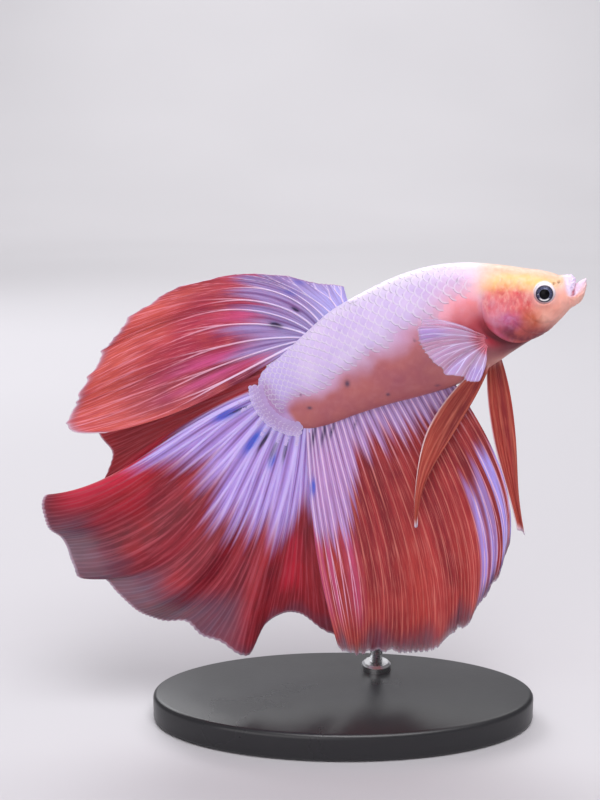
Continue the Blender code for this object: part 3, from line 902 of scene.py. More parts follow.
def fin_piece(name, fin, root_of, grid, rays, look, side=1.0):
    """Fin with its rays as ridges. grid is columns and rows, rays are count, splits, seed."""
    look = LOOK | look
    points, masks = fin_points(fin, root_of, grid, rays, look, side)

    def shape(u, v):
        pick = np.rint(u * grid[0]).astype(int), np.rint(v * grid[1]).astype(int)
        picked = {key: np.broadcast_to(values, points.shape[:2])[pick]
                  for key, values in masks.items()}
        return points[pick], picked, (u, v)

    piece = show(name, grid_sheet(*grid, shape))
    thicken(piece, look["thick"])
    print(name + ":", len(piece.data.polygons), "faces before its thickness")
    return piece


print("looks a fin can have:", len(LOOK))

# %% [markdown]
# ## Where the fins change colour
#
# Near the body the fins keep the lavender shine of the scales, and further out they are red.
# The border between the two is ragged: the shine runs out along some rays further than along
# others. Each fin says how far out its shine reaches, as a curve over the fin, and shared code
# frays that border, ray by ray.

# %% Borders of the shine
def ragged(reach, v, cross, seed, depth=0.1, soft=0.05):
    """1 inside the border at reach and 0 outside, frayed along the rays."""
    border = reach + depth * waves(cross * 2.3, seed) + 0.6 * depth * waves(cross * 7.1, seed + 1)
    border = border + 0.02 * waves(cross * 19.0, seed + 2)
    return fade(border + soft, border - soft, v)


def blots(x, z, strength, spots):
    """Soft blots of colour of a strength, each (x, z, half length, half width, tilt)."""
    soft = np.minimum(1, sum(patch(x, z, (a, b), (c, d), tilt) for a, b, c, d, tilt in spots))
    return np.minimum(1, strength * soft)


def band(low, full, fading, end, value):
    """1 between full and fading, and 0 outside low and end."""
    return fade(low, full, value) * fade(end, fading, value)


BORDER_TEST = ragged(0.5, np.array([0.3, 0.5, 0.7]), np.zeros(3), 1)
print("shine inside, on and outside a border:", np.round(BORDER_TEST, 2).tolist())

# %% [markdown]
# Each fin has its own function for its masks, which says where on the fin the colours of the
# next steps lie. All are called with the same six values: u over the fin, v out along it, the
# number of the ray, how far the point is on a ray, and x and z.

# %% Masks of the dorsal and tail fins
def dorsal_masks(u, v, cross, ray, x, z):
    reach = through((1.2, 1.2, 1.2, 0.85, 0.52, 0.34, 0.27, 0.27, 0.27, 0.22, 0.12), u * 10)
    return {
        "inner": ragged(reach, v, cross, 21, 0.08, 0.10),
        "front": 0.8 * fade(0.50, 0.20, u + 0.25 * v),
        "blue": blots(x, z, 0.6, ((-5.6, 55.2, 0.7, 0.3, 160), (-6.6, 54.0, 0.9, 0.3, 165))),
        "dark": blots(x, z, 1.7, ((-8.3, 50.1, 0.75, 0.34, 165), (-6.0, 52.0, 0.5, 0.18, 150))),
        "bright": fade(0.45, 0.95, v + 0.15 * waves(cross * 0.5, 24)) * fade(0.2, 0.5, u),
        "hot": 0.9 * patch(x, z, (-15.5, 45.0), (6.0, 1.9), 24)
               * fade(0.5, -0.3, waves(cross * 1.9, 27))
               + patches(x, z, ((0.7, (-7.5, 55.8), (5.5, 0.9), 0),
                                (0.5, (-12.0, 51.5), (3.5, 1.0), 12))),
        "frost": 0.9 * fade(0.62, 0.30, v) * fade(0.3, 0.5, u)
                 + 0.7 * fade(0.3, 0.8, waves(cross * 1.3, 25)) * fade(0.75, 0.9, u),
        # painted shade in the dorsal fin's folds
        "deep": 0.8 * fade(0.2, 0.9, waves(cross * 1.1 + 0.8 * v, 26)) * fade(0.95, 0.6, v),
        "edge": 0.8 * fade(0.95, 1.0, v),
    }


def caudal_masks(u, v, cross, ray, x, z):
    reach = through((0.3, 0.3, 0.3, 0.32, 0.44, 0.50, 0.42, 0.37, 0.38, 0.40, 0.43, 0.44, 0.44,
                     0.45, 0.46, 0.42, 0.4), u * 16)
    torn = 0.05 * waves(cross * 0.6, 34) + 0.03 * waves(cross * 3.1, 35)
    pale_margin = fade(0.76, 0.93, v + torn) * band(0.33, 0.40, 0.74, 0.84, u)
    return {
        "inner": ragged(reach, v, cross, 31, 0.07, 0.10) * fade(0.2, 0.27, u),
        "blue": blots(x, z, 1.5, ((-14.2, 39.3, 1.6, 0.5, 23), (-11.1, 35.9, 1.7, 0.55, 52),
                                  (-8.9, 33.5, 0.9, 0.35, 68))),
        "dark": blots(x, z, 1.6, ((-9.8, 36.0, 1.3, 0.2, 57), (-8.6, 34.9, 1.2, 0.24, 67),
                                  (-7.25, 34.8, 1.3, 0.2, 77), (-12.7, 39.9, 1.2, 0.14, 25))),
        "hot": 0.9 * fade(0.05, 0.0, np.abs(u - 0.325)) * band(0.40, 0.6, 0.85, 1.0, v)
               + 0.5 * fade(0.2, 0.9, waves(cross * 1.7, 37)) * band(0.5, 0.6, 0.8, 0.9, v),
        "bright": fade(0.075, 0.0, np.abs(u - 0.335)) * band(0.40, 0.55, 0.85, 1.0, v)
                  + 0.4 * fade(0.26, 0.20, u) + 0.6 * patch(u, v, (0.93, 0.80), (0.05, 0.16)),
        # painted shade in the tail fin's folds
        "deep": fade(0.25, 0.8, waves(cross * 0.9 + 0.5 * v, 36)) * fade(0.3, 0.5, v)
                + fade(0.012, 0.0, np.abs(u - 0.845 + 0.03 * v)) * fade(0.5, 0.6, v),
        "edge": np.maximum(pale_margin, 0.55 * fade(0.93, 1.0, v + torn) * fade(0.2, 0.3, u)),
        "clear": fade(0.80, 0.93, v) * band(0.36, 0.45, 0.7, 0.78, u),
    }


print("masks of the dorsal and tail fins are ready")

# %% Masks of the other fins
def anal_masks(u, v, cross, ray, x, z):
    reach = through((0.10, 0.12, 0.10, 0.12, 0.13, 0.12, 0.13, 0.22, 0.44, 0.50, 0.46), u * 10)
    long_streaks = 0.35 * fade(0.3, 0.7, waves(cross * 1.1, 45)) * fade(0.62, 0.8, u)
    front_streaks = fade(-0.1, 0.4, waves(cross * 1.6, 46) + 0.5 * fade(0.12, 0.0, u))
    return {
        "inner": ragged(reach + long_streaks, v, cross, 41, 0.05, 0.06),
        "front": front_streaks * fade(0.27, 0.16, u + 0.06 * waves(cross, 47))
                 * fade(0.34, 0.50, v + 0.08 * waves(cross * 2.0, 48)),
        "blue": blots(x, z, 1.3, ((-3.9, 30.2, 1.0, 0.34, 88),)),
        "dark": blots(x, z, 1.0, ((-3.8, 36.7, 1.3, 0.24, 80), (-2.6, 36.9, 1.3, 0.24, 78),
                                  (-1.6, 37.3, 0.9, 0.2, 75), (1.2, 38.1, 0.5, 0.15, 75))),
        "bright": fade(0.25, 0.75, v) * (0.4 + 0.4 * waves(cross * 0.35, 44))
                  + 0.6 * patch(u, v, (0.56, 0.74), (0.07, 0.25)),
        # painted shade in the anal fin's folds
        "deep": fade(0.022, 0.0, np.abs(u - 0.47 + 0.06 * v)) * fade(0.45, 0.7, v)
                + 0.7 * fade(0.2, 0.9, waves(cross * 0.6, 50)),
        "hot": 0.6 * fade(0.76, 0.84, u) * band(0.42, 0.5, 0.75, 0.95, v)
               * fade(0.4, -0.3, waves(cross * 1.4, 51)),
        "frost": band(0.78, 0.84, 0.92, 0.99, u) * band(0.42, 0.55, 0.72, 0.92, v)
                 + 0.6 * fade(0.22, 0.14, u) * fade(0.3, 0.5, v) + 0.5 * fade(0.30, 0.12, v),
        "edge": 0.9 * fade(0.88, 1.0, v + 0.05 * waves(cross * 0.7, 49)),
        "clear": fade(0.93, 1.0, v),
    }


def pelvic_masks(u, v, cross, ray, x, z):
    return {
        "inner": fade(0.07, 0.02, u) + fade(0.95, 0.99, v) * 0.8 + 0.5 * fade(0.07, 0.0, v),
        "bright": 0.35 + 0.3 * waves(cross * 1.5, 52),
        "edge": fade(0.97, 1.0, v),
    }


BUNDLES = (0.3, 0.1, 0.0, 0.9, 1.0, 0.9, 0.0, 0.0, 0.5, 0.6, 0.1, 0.0, 0.8, 1.0, 0.3, 0.0,
           0.8, 1.0, 1.0, 1.0)


def pectoral_masks(u, v, cross, ray, x, z):
    """The rays draw together in bundles, with clear skin between them."""
    bundle = np.clip(through(BUNDLES, u * (len(BUNDLES) - 1)), 0, 1)
    tint = bundle * (patch(u, v, (0.2, 0.85), (0.14, 0.3)) + patch(u, v, (0.85, 0.75), (0.3, 0.4)))
    return {
        "inner": fade(0.05, 0.34, v),
        "front": 0.75 * np.minimum(1, tint) * fade(0.3, 0.7, v),
        "clear": np.maximum((1 - ray * (0.25 + 0.75 * bundle)) * fade(0.03, 0.2, v)
                            * (1 - 0.5 * bundle), 0.9 * fade(0.72 + 0.2 * bundle, 1.0, v)),
    }


print("masks of the other fins are ready")

# %% [markdown]
# Now every fin is one call. The long soft fins get deep pleats and ragged margins, the pelvic
# fins are narrow blades whose rays draw together, and the pectoral fins are short clear fans.

# %% Make the fins
dorsal = fin_piece("dorsal_sail", DORSAL, outline_root(10.35, 12.2, 1.5, True, -0.5),
                   (360, 96), (11, (0.42, 0.75), 61),
                   {"masks": dorsal_masks, "rooted": 0.86, "margin": 0.10, "lobes": 1.6,
                    "spikes": 0.5, "pleat": 0.40, "folds": 7, "ray_width": 0.16})
caudal = fin_piece("caudal_fan", CAUDAL, caudal_root, (600, 78), (15, (0.10, 0.38, 0.68), 62),
                   {"masks": caudal_masks, "sunk": caudal_sunk, "margin": 0.12, "lobes": 2.0,
                    "pleat": 0.7, "folds": 8, "ray_width": 0.14, "ridge": 0.02,
                    "root_slim": 0.3, "rods": 0.3, "slimming": 2.0})
anal = fin_piece("anal_veil", ANAL, anal_root, (520, 84), (27, (0.55, 0.85), 63),
                 {"masks": anal_masks, "rooted": 0.86, "margin": 0.16, "lobes": 1.6,
                  "pleat": 0.6, "folds": 5, "ray_width": 0.11, "ridge": 0.03,
                  "root_slim": 0.8, "rods": 0.2, "slimming": 1.5})
pelvic_right = fin_piece("pelvic_blade_right", PELVIC_RIGHT, right_pelvic_root, (60, 120),
                         (3, (0.3,), 64), {"masks": pelvic_masks, "pleat": 0.15, "folds": 2,
                                           "rooted": 1.6, "margin": 0.1, "taper": 0.75,
                                           "off": -1.3})
pelvic_left = fin_piece("pelvic_blade_left", PELVIC_LEFT, left_pelvic_root, (60, 120),
                        (3, (0.3,), 65), {"masks": pelvic_masks, "pleat": 0.15, "folds": 2,
                                          "rooted": 1.3, "margin": 0.1, "taper": 0.4,
                                          "off": 1.1})
pectoral_right, pectoral_left = (
    fin_piece("pectoral_fan_" + word, PECTORAL, pectoral_root, (160, 56),
              (11, (0.5,), seed), {"masks": pectoral_masks, "pleat": 0.15, "folds": 5,
                                   "margin": 0.16, "lobes": 2.0, "ray_width": 0.12,
                                   "membrane": 0.09, "off": 3.95, "off_root": 2.9},
              side)
    for side, word, seed in ((-1, "right", 66), (1, "left", 67)))
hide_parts("dorsal_fin")
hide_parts("caudal_fin")
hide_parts("anal_fin")
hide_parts("pelvic_fin_right")
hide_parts("pelvic_fin_left")
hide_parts("pectoral_fin_right")
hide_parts("pectoral_fin_left")

# %% [markdown]
# Where the tail's flesh ends, a collar of round scales laps on to the fin, and rows of tiny
# ones run out along the roots of the rays. They are copies of the same plate. Each point of
# a plate is dropped on to the fin or the skin below it, from the side, to find its height.

# %% Beads on the root of the tail fin
BEAD_ROWS = ((4.84, 0.40, 13), (5.18, 0.40, 14), (5.51, 0.37, 16), (5.82, 0.32, 19),
             (6.10, 0.26, 24))
BEAD_FROM, BEAD_SPAN = 183, 85        # degrees where each of those rows starts, and its length
BEAD_SKIRT = (0.50, 0.44, 0.36, 0.28, 0.20, 0.10, 0.0)      # least height, going outwards
SKIRT_FROM, SKIRT_STEP = 4.4, 0.4     # radius of the first of those, and the step between them
BAND_STEP, BAND_HALF = 0.22, 0.13     # distance between the small plates of one ray, and size
BAND_COUNT = 8                        # small plates along one ray
BAND_ARC = np.arange(191.0, 272.0, 0.5)
THIN_RAY, WIDE_RAY = 0.07, 0.30       # half widths of rays: no plate below, no wider plate above
BEHIND_GILL = 9.0                     # so far behind the gill cover that its marks are gone


def drop(trees, x, z, side):
    """How far out the surface is at x, z on one side, in mm, or None past the edges."""
    start, ray = Vector((x * MM, side * 0.01, z * MM)), Vector((0, -side, 0))
    hits = [tree.ray_cast(start, ray)[0] for tree in trees]
    return max((side * hit.y / MM for hit in hits if hit), default=None)


def rays_at(radius, degrees):
    """Middle and half width, in degrees and mm, of each ray that crosses an arc."""
    points = np.zeros(len(caudal.data.vertices) * 3)
    caudal.data.vertices.foreach_get("co", points)
    points = points.reshape(-1, 3)[:, ::2] / MM
    on_ray = np.zeros(len(points), np.float32)
    caudal.data.attributes["ray"].data.foreach_get("value", on_ray)
    close = np.hypot(*(points - TAIL_CENTRE).T) < radius + 1.0
    points, on_ray = points[close], on_ray[close]
    arc = tail_arc(np.linspace(0, 1, len(degrees)), radius, degrees[0], degrees[-1])
    lit = np.array([on_ray[((points - spot) ** 2).sum(axis=1).argmin()] for spot in arc]) > 0.5
    turns = np.flatnonzero(np.diff(np.concatenate([[0], lit.astype(int), [0]])))
    return [((degrees[first] + degrees[last - 1]) / 2,
             math.radians(degrees[last - 1] - degrees[first]) * radius / 2)
            for first, last in turns.reshape(-1, 2)]


def grow_beads():
    """Rows of (radius, degrees, half width, half length, lean) round the tail's root."""
    rng = np.random.default_rng(12)
    spots = []
    for row, (radius, half, count) in enumerate(BEAD_ROWS):
        for k in range(count):
            degrees = BEAD_FROM + BEAD_SPAN * (k + 0.5 * (row % 2)) / (count - 0.5)
            spots.append((radius + rng.uniform(-0.04, 0.04), degrees, half, 1.1 * half,
                          rng.uniform(-0.2, 0.2)))
    for step in range(BAND_COUNT):
        radius = BEAD_ROWS[-1][0] + 0.15 + BAND_STEP * step
        for degrees, half in rays_at(radius, BAND_ARC):
            if half > THIN_RAY and rng.uniform() > 0.08 * step:
                spots.append((radius, degrees, min(half, WIDE_RAY), BAND_HALF, 0.0))
    return spots


def lay_beads(spots):
    """One mesh of all the beads, on both sides of the tail."""
    depsgraph = bpy.context.evaluated_depsgraph_get()
    trees = [BVHTree.FromObject(piece, depsgraph) for piece in (skin, caudal)]
    kept = []
    for radius, degrees, half, length, lean in spots:
        for reach in (radius, radius + 1.2 * length):
            x, z = tail_arc(np.array([0.0]), reach, degrees, degrees)[0]
            if drop(trees, x, z, 1) is None:
                break
        else:
            kept += [(radius, degrees, half, length, lean, side) for side in (1, -1)]
    mesh, local = plate_copies("tail_beads", len(kept))
    rows = np.repeat(np.array(kept), len(plate.vertices), axis=0)
    radius, degrees, half, length, lean, side = rows.T
    rear, across = local[:, 0] * length, local[:, 1] * half
    radius_at = radius + rear - lean * across
    turn = np.radians(degrees) + (across + lean * rear) / radius_at
    x = TAIL_CENTRE[0] + radius_at * np.cos(turn)
    z = TAIL_CENTRE[1] + radius_at * np.sin(turn)
    below = np.array([drop(trees, *spot) or 0.0 for spot in zip(x, z, side)])
    below = np.maximum(below, through(BEAD_SKIRT, (radius_at - SKIRT_FROM) / SKIRT_STEP))
    reach = np.hypot(local[:, 0], local[:, 1])
    height = 0.004 + 0.010 * fade(-1.0, 0.9, local[:, 0]) + 0.03 * length * (1 - reach ** 2)
    y = side * (below + height + 0.5 * PLATE_THICKNESS * local[:, 2])
    none, full = 0 * x, np.ones_like(x)
    masks = markings(x, z, LAST_RING - full, BEHIND_GILL + none, none)
    masks.update(belly=none, stem=0.55 * fade(6.2, 5.4, radius), back=none, rim=reach,
                 rear=local[:, 0], shade=np.sin(degrees * 37.0), shine=full)
    roots = np.stack([0.96 + 0.004 * (radius - 5), np.radians(degrees) / 6.3], 1)
    finish_plates(mesh, np.stack([x, y, z], 1), masks, roots, local)
    return mesh


beads = show("tail_beads", lay_beads(grow_beads()))
print("beads:", len(beads.data.polygons), "faces")

# %% [markdown]
# ## Eyes
#
# A betta's eye is a ball with a flat front: a near-black pupil that never closes, a thin
# silver ring, a slate iris with a bright crescent low in it, a painted highlight, and a pale
# outer ring that the skin's rim holds, painted whiter at its top as a highlight. The eyeball is
# a ball pressed shallow, and its rings are coloured by the distance from the axis of the eye.

# %% Make the eyes
EYE_RADIUS, EYE_DEPTH, EYE_SIDE = 1.24, 0.85, 2.2
EYE_BULGE, LENS_SPREAD = 0.12, 0.55   # the lens pushes the middle of the cornea out a little


def eye_piece(word, side):
    """Shallow ball with rings stored as distances from its axis, in mm."""
    bm = bmesh.new()
    bmesh.ops.create_uvsphere(bm, u_segments=64, v_segments=48, radius=1.0)
    reach_layer = bm.verts.layers.float.new("reach")
    turn_layer = bm.verts.layers.float.new("turn")
    for vert in bm.verts:
        x, y, z = vert.co
        reach = math.hypot(x, y)
        bulge = EYE_BULGE * math.exp(-(reach / LENS_SPREAD) ** 2) if z > 0 else 0.0
        place = np.array([EYE[0] + x * EYE_RADIUS, side * (EYE_SIDE + z * EYE_DEPTH + bulge),
                          EYE[1] + y * EYE_RADIUS])
        vert[reach_layer] = reach * EYE_RADIUS
        vert[turn_layer] = math.atan2(y, x)
        vert.co = turned(place) * MM
    for face in bm.faces:
        face.smooth = True
    bmesh.ops.recalc_face_normals(bm, faces=bm.faces)
    piece = show("eyeball_" + word, bm)
    return piece


eye_right, eye_left = eye_piece("right", -1), eye_piece("left", 1)
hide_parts("eye_right")
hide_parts("eye_left")
print("eyes are", 2 * EYE_RADIUS, "mm across")

# %% [markdown]
# ## The display stand
#
# A swimming fish has to be held up. A flat oval plate is heavy and wide enough to stand, and
# one thin steel rod rises behind the fins and bends in to the flank on the far side, where it
# is hardly seen. The plate's rim is rounded, and a small collar seats the rod.

# %% Make the plate
PLATE_LENGTH, PLATE_WIDTH, PLATE_HEIGHT = (
    (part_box("stand_base")[1][i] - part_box("stand_base")[0][i]) for i in range(3))
RIM_ROUNDING = 0.6 * MM
bm = bmesh.new()
bmesh.ops.create_cone(bm, cap_ends=True, segments=144, radius1=0.5, radius2=0.5,
                      depth=PLATE_HEIGHT)
bmesh.ops.scale(bm, verts=bm.verts, vec=(PLATE_LENGTH, PLATE_WIDTH, 1.0))
bmesh.ops.translate(bm, verts=bm.verts, vec=(0.0, 0.0, PLATE_HEIGHT / 2))
rims = [edge for edge in bm.edges if len(edge.link_faces[0].verts) > 4
        or len(edge.link_faces[1].verts) > 4]
bmesh.ops.bevel(bm, geom=rims, offset=RIM_ROUNDING, segments=5, profile=0.5, affect="EDGES",
                material=-1)
stand_plate = show("stand_plate", bm, 35)
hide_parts("stand_base")
print("plate:", [round(v / MM, 1) for v in (PLATE_LENGTH, PLATE_WIDTH, PLATE_HEIGHT)])

# %% [markdown]
# A bent rod is a circle that is pushed up, spun through a quarter turn and pushed on to its
# tip. That keeps its thickness even through the bend, as a bent bar's is.

# %% Make the rod
ROD_RADIUS, ROD_X, ROD_Y = 0.8, 4.6, 6.6              # mm, behind the fish
ROD_TOP, ROD_TIP_Y, ROD_BEND = 49.0, 2.6, 2.4         # its tip, and the radius of the bend
ROD_SUNK, COLLAR_SUNK = 0.5, 0.05     # mm that the rod and its collar reach into the plate


def extruded(bm, faces, offset):
    """Push faces out by an offset in mm and give the new end faces."""
    made = bmesh.ops.extrude_face_region(bm, geom=faces)["geom"]
    verts = [item for item in made if isinstance(item, bmesh.types.BMVert)]
    bmesh.ops.translate(bm, verts=verts, vec=[value * MM for value in offset])
    return [item for item in made if isinstance(item, bmesh.types.BMFace)]


bm = bmesh.new()
bmesh.ops.create_circle(bm, cap_ends=True, segments=32, radius=ROD_RADIUS * MM)
bmesh.ops.translate(bm, verts=bm.verts, vec=(ROD_X * MM, ROD_Y * MM, PLATE_HEIGHT - ROD_SUNK * MM))
rise = ROD_TOP - ROD_BEND - PLATE_HEIGHT / MM + ROD_SUNK
end = extruded(bm, list(bm.faces), (0, 0, rise))
bend = bmesh.ops.spin(bm, geom=end, axis=(1, 0, 0), angle=math.pi / 2, steps=12,
                      cent=(ROD_X * MM, (ROD_Y - ROD_BEND) * MM, (ROD_TOP - ROD_BEND) * MM))
end = [item for item in bend["geom_last"] if isinstance(item, bmesh.types.BMFace)]
end = extruded(bm, end, (0, ROD_TIP_Y - ROD_Y + ROD_BEND, 0))
inner = [face for face in bm.faces if len(face.verts) > 4
         and face not in end and face.calc_center_median().z > PLATE_HEIGHT]
bmesh.ops.delete(bm, geom=inner, context="FACES_ONLY")
bmesh.ops.remove_doubles(bm, verts=bm.verts, dist=1e-6)
bmesh.ops.recalc_face_normals(bm, faces=bm.faces)
for face in bm.faces:
    face.smooth = len(face.verts) == 4
stand_post = show("stand_post", bm)
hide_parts("stand_rod")
print("rod:", len(stand_post.data.polygons), "faces")

# %% Make the collar that seats the rod
COLLAR = ((1.9, 0.0), (1.9, 0.7), (1.6, 1.0), (0.85, 1.0))      # radius and height, in mm
bm = bmesh.new()
verts = [bm.verts.new((MM * (ROD_X + r), MM * ROD_Y, PLATE_HEIGHT + MM * (h - COLLAR_SUNK)))
         for r, h in COLLAR]
edges = [bm.edges.new(pair) for pair in zip(verts, verts[1:])]
bmesh.ops.spin(bm, geom=verts + edges, cent=(MM * ROD_X, MM * ROD_Y, 0), axis=(0, 0, 1),
               angle=2 * math.pi, steps=48, use_merge=True)
bmesh.ops.holes_fill(bm, edges=bm.edges, sides=0)
bmesh.ops.recalc_face_normals(bm, faces=bm.faces)
stand_collar = show("stand_collar", bm, 30)
print("collar:", len(stand_collar.data.polygons), "faces")

# %% [markdown]
# ## Materials
#
# Every finish is a Principled shader whose colour, roughness and bump come from small node
# networks. A few helpers keep those readable: each adds one node, fills its inputs and gives
# back its output. Colours are written as the usual six-digit codes and turned into the linear
# values that the shader wants.

# %% Helpers for materials
def paint(code):
    """Linear colour from a six-digit code."""
    parts = [int(code[i:i + 2], 16) / 255 for i in (0, 2, 4)]
    return (*(p / 12.92 if p < 0.04045 else ((p + 0.055) / 1.055) ** 2.4 for p in parts), 1.0)


def fill(tree, node, values):
    """Fill a node's inputs with constants, with outputs or with a mask, given by its name."""
    for key, value in values.items():
        value = attribute(tree, value) if isinstance(value, str) else value
        if isinstance(value, bpy.types.NodeSocket):
            tree.links.new(value, node.inputs[key])
        else:
            node.inputs[key].default_value = value


def put(tree, kind, values=None, **settings):
    """Add a node, apply its settings and fill its inputs."""
    made = tree.nodes.new("ShaderNode" + kind)
    for key, value in settings.items():
        setattr(made, key, value)
    fill(tree, made, values or {})
    return made


def attribute(tree, name):
    return put(tree, "Attribute", attribute_name=name).outputs["Fac"]


def own_place(tree):
    """The object's own coordinates."""
    return put(tree, "TexCoord").outputs["Object"]


def mix(tree, mask, first, second):
    """Colour that goes from first to second as mask goes from 0 to 1."""
    return put(tree, "Mix", {0: mask, 6: first, 7: second}, data_type="RGBA",
               clamp_factor=True).outputs[2]


def over(tree, colour, layers):
    """Lay colours over the first one in turn, each through its mask."""
    for mask, layer in layers:
        colour = mix(tree, mask, colour, paint(layer) if isinstance(layer, str) else layer)
    return colour


def calc(tree, operation, first, second=0.0, clamp=False):
    """One step of arithmetic."""
    return put(tree, "Math", {0: first, 1: second}, operation=operation,
               use_clamp=clamp).outputs[0]


def times(tree, first, *others):
    """Product of two or more values."""
    for other in others:
        first = calc(tree, "MULTIPLY", first, other)
    return first


def noise(tree, scale, detail=2.0, vector=None, roughness=0.5):
    """Noise from 0 to 1 on the object's own coordinates, or on another vector."""
    return put(tree, "TexNoise", {"Vector": vector or own_place(tree), "Scale": scale,
                                  "Detail": detail, "Roughness": roughness}).outputs["Fac"]


def ramp(tree, value, low, high, to_low=0.0, to_high=1.0):
    """Straight change from to_low to to_high while value goes from low to high."""
    return put(tree, "MapRange", {0: value, 1: low, 2: high, 3: to_low, 4: to_high},
               clamp=True).outputs[0]


def mottled(tree, value, low, high, first, second):
    """Two paints, the second where value is above high and the first where it is below low."""
    return mix(tree, ramp(tree, value, low, high), paint(first), paint(second))


def new_group(name, inputs, outputs):
    """Empty node group with its sockets. Gives the tree and its input and output nodes."""
    tree = bpy.data.node_groups.new(name, "ShaderNodeTree")
    for key, value in inputs.items():
        colour = isinstance(value, tuple)
        socket = tree.interface.new_socket(
            key, in_out="INPUT", socket_type="NodeSocketColor" if colour else "NodeSocketFloat")
        socket.default_value = value
    for key, kind in outputs.items():
        tree.interface.new_socket(key, in_out="OUTPUT", socket_type="NodeSocket" + kind)
    return tree, tree.nodes.new("NodeGroupInput").outputs, tree.nodes.new("NodeGroupOutput")


def finish(name, constants):
    """Material with a Principled shader that holds these constant values."""
    material = bpy.data.materials.new(name)
    material.use_nodes = True
    shader = material.node_tree.nodes["Principled BSDF"]
    fill(material.node_tree, shader, constants)
    return material, material.node_tree, shader


def bump(tree, shader, height, distance, strength=1.0):
    """Feed the shader's normal from a height between 0 and 1, distance metres deep."""
    made = put(tree, "Bump", {"Height": height, "Distance": distance, "Strength": strength})
    fill(tree, shader, {"Normal": made.outputs["Normal"]})


def dress(material, *pieces):
    """Give the pieces a finish."""
    for piece in pieces:
        piece.data.materials.append(material)


print("lavender as linear values:", [round(value, 3) for value in paint("e0d2fa")[:3]])

# %% [markdown]
# ## The fish's markings as one group
#
# The group reads the masks from the points and lays the colours over each other, from the
# widest to the smallest: lavender, a painted highlight along the top of the back, nape, belly
# and shoulder; the pale face, the flush behind the gill cover and painted shade under the
# throat; gold, coral, amber and violet; chin, orbit with a painted highlight above the eye,
# lips, painted shade in the slit, and specks with painted shade in the nostrils. Noise breaks
# up most of them, because no patch on a living skin is even.

# %% Markings group
FACE_FROM, FACE_FULL = 15.0 * MM, 18.5 * MM      # x where the pale face begins and is full
SCRATCH_TILT = math.radians(35)                  # streaks on the cheek lean with its bones


def ground_layers(tree, wide, fine):
    """Lavender flanks, a painted highlight along the top of the back, and the broad patches on
    them.
    """
    belly = mottled(tree, wide, 0.3, 0.7, "bc6c6a", "a85a68")
    belly = over(tree, belly, [(ramp(tree, fine, 0.45, 0.7, 0.0, 0.15), "cc8a92")])
    return over(tree, mottled(tree, wide, 0.35, 0.65, "d9bdf0", "e6cff6"), [
        # back: painted highlight along the top of the back
        ("tail", "c6acea"), ("back", "f6e8fb"),
        ("nape", mottled(tree, fine, 0.4, 0.6, "e8c8b4", "e0baa4")),
        ("belly", belly), ("shoulder", "f4b6ce")])


def gill_layers(tree, wide):
    """The pale face, the pink behind the gill cover, blood at the slit, and painted shade low
    behind the cover.
    """
    x = put(tree, "SeparateXYZ", {0: own_place(tree)}).outputs[0]
    not_nape = calc(tree, "SUBTRACT", 1.0, "nape")
    streaky = ramp(tree, noise(tree, 900.0, 4.0), 0.35, 0.62, 0.7)
    return [(times(tree, ramp(tree, x, FACE_FROM, FACE_FULL), not_nape),
             mottled(tree, wide, 0.35, 0.65, "f8c4b0", "f4b0a2")),
            (times(tree, "rouge", streaky), mottled(tree, wide, 0.4, 0.6, "f8a0a6", "f2929a")),
            ("flush", mottled(tree, wide, 0.35, 0.65, "94182c", "b03040")),
            # painted shade under the throat, dark maroon
            ("throat", mottled(tree, wide, 0.35, 0.65, "62222e", "7c3a46"))]


def cheek_layers(tree, fine):
    """Gold above the cheek, then coral, amber and violet on it, torn along its bones."""
    slanted = put(tree, "Mapping", {"Vector": own_place(tree), "Rotation": (0, SCRATCH_TILT, 0),
                                    "Scale": (1.0, 1.0, 0.45)}).outputs[0]
    torn = ramp(tree, noise(tree, 900.0, 5.0, slanted, 0.6), 0.34, 0.60, 0.6)
    flecks = ramp(tree, noise(tree, 1500.0, 3.0, slanted, 0.6), 0.52, 0.72, 0.0, 0.4)
    fleshy = calc(tree, "SUBTRACT", "blush", "violet", True)
    return [(times(tree, "gold", ramp(tree, fine, 0.25, 0.6, 0.6)), "f8cc80"),
            (times(tree, "blush", torn), mottled(tree, fine, 0.35, 0.65, "e05c60", "cc4450")),
            (times(tree, "amber", torn), "c8603f"),
            (times(tree, "violet", torn), mottled(tree, fine, 0.4, 0.62, "bc5486", "cc7ea8")),
            (times(tree, fleshy, flecks), "fbd4c4")]


def markings_group():
    tree, _, out = new_group("fish_markings", {}, {"Color": "Color", "Wet": "Float"})
    wide, fine = noise(tree, 260.0, 3.0), noise(tree, 1400.0, 3.0)
    spotty = noise(tree, 620.0, 4.0)
    small = [("chin", mottled(tree, spotty, 0.36, 0.62, "ae4c48", "742636")),
             # orbit: pale ring with a painted highlight above the eye
             ("orbit", "f4eef4"),
             ("stem", mottled(tree, spotty, 0.4, 0.6, "b48abe", "c29cce")),
             # slit: painted shade in the gill slit; speck: dark specks and painted shade in the
             # nostrils
             ("lip", "e8d6f2"), ("mouth", "b23c48"), ("slit", "620e20"), ("speck", "4a3a58")]
    colour = over(tree, ground_layers(tree, wide, fine),
                  gill_layers(tree, wide) + cheek_layers(tree, fine) + small)
    fill(tree, out, {"Color": colour, "Wet": fine})
    return tree


MARKINGS = markings_group()
print("markings group:", len(MARKINGS.nodes), "nodes")

# %% Skin material
WET_LOW, WET_HIGH = 0.3, 0.7      # the noise that moves a wet finish's roughness


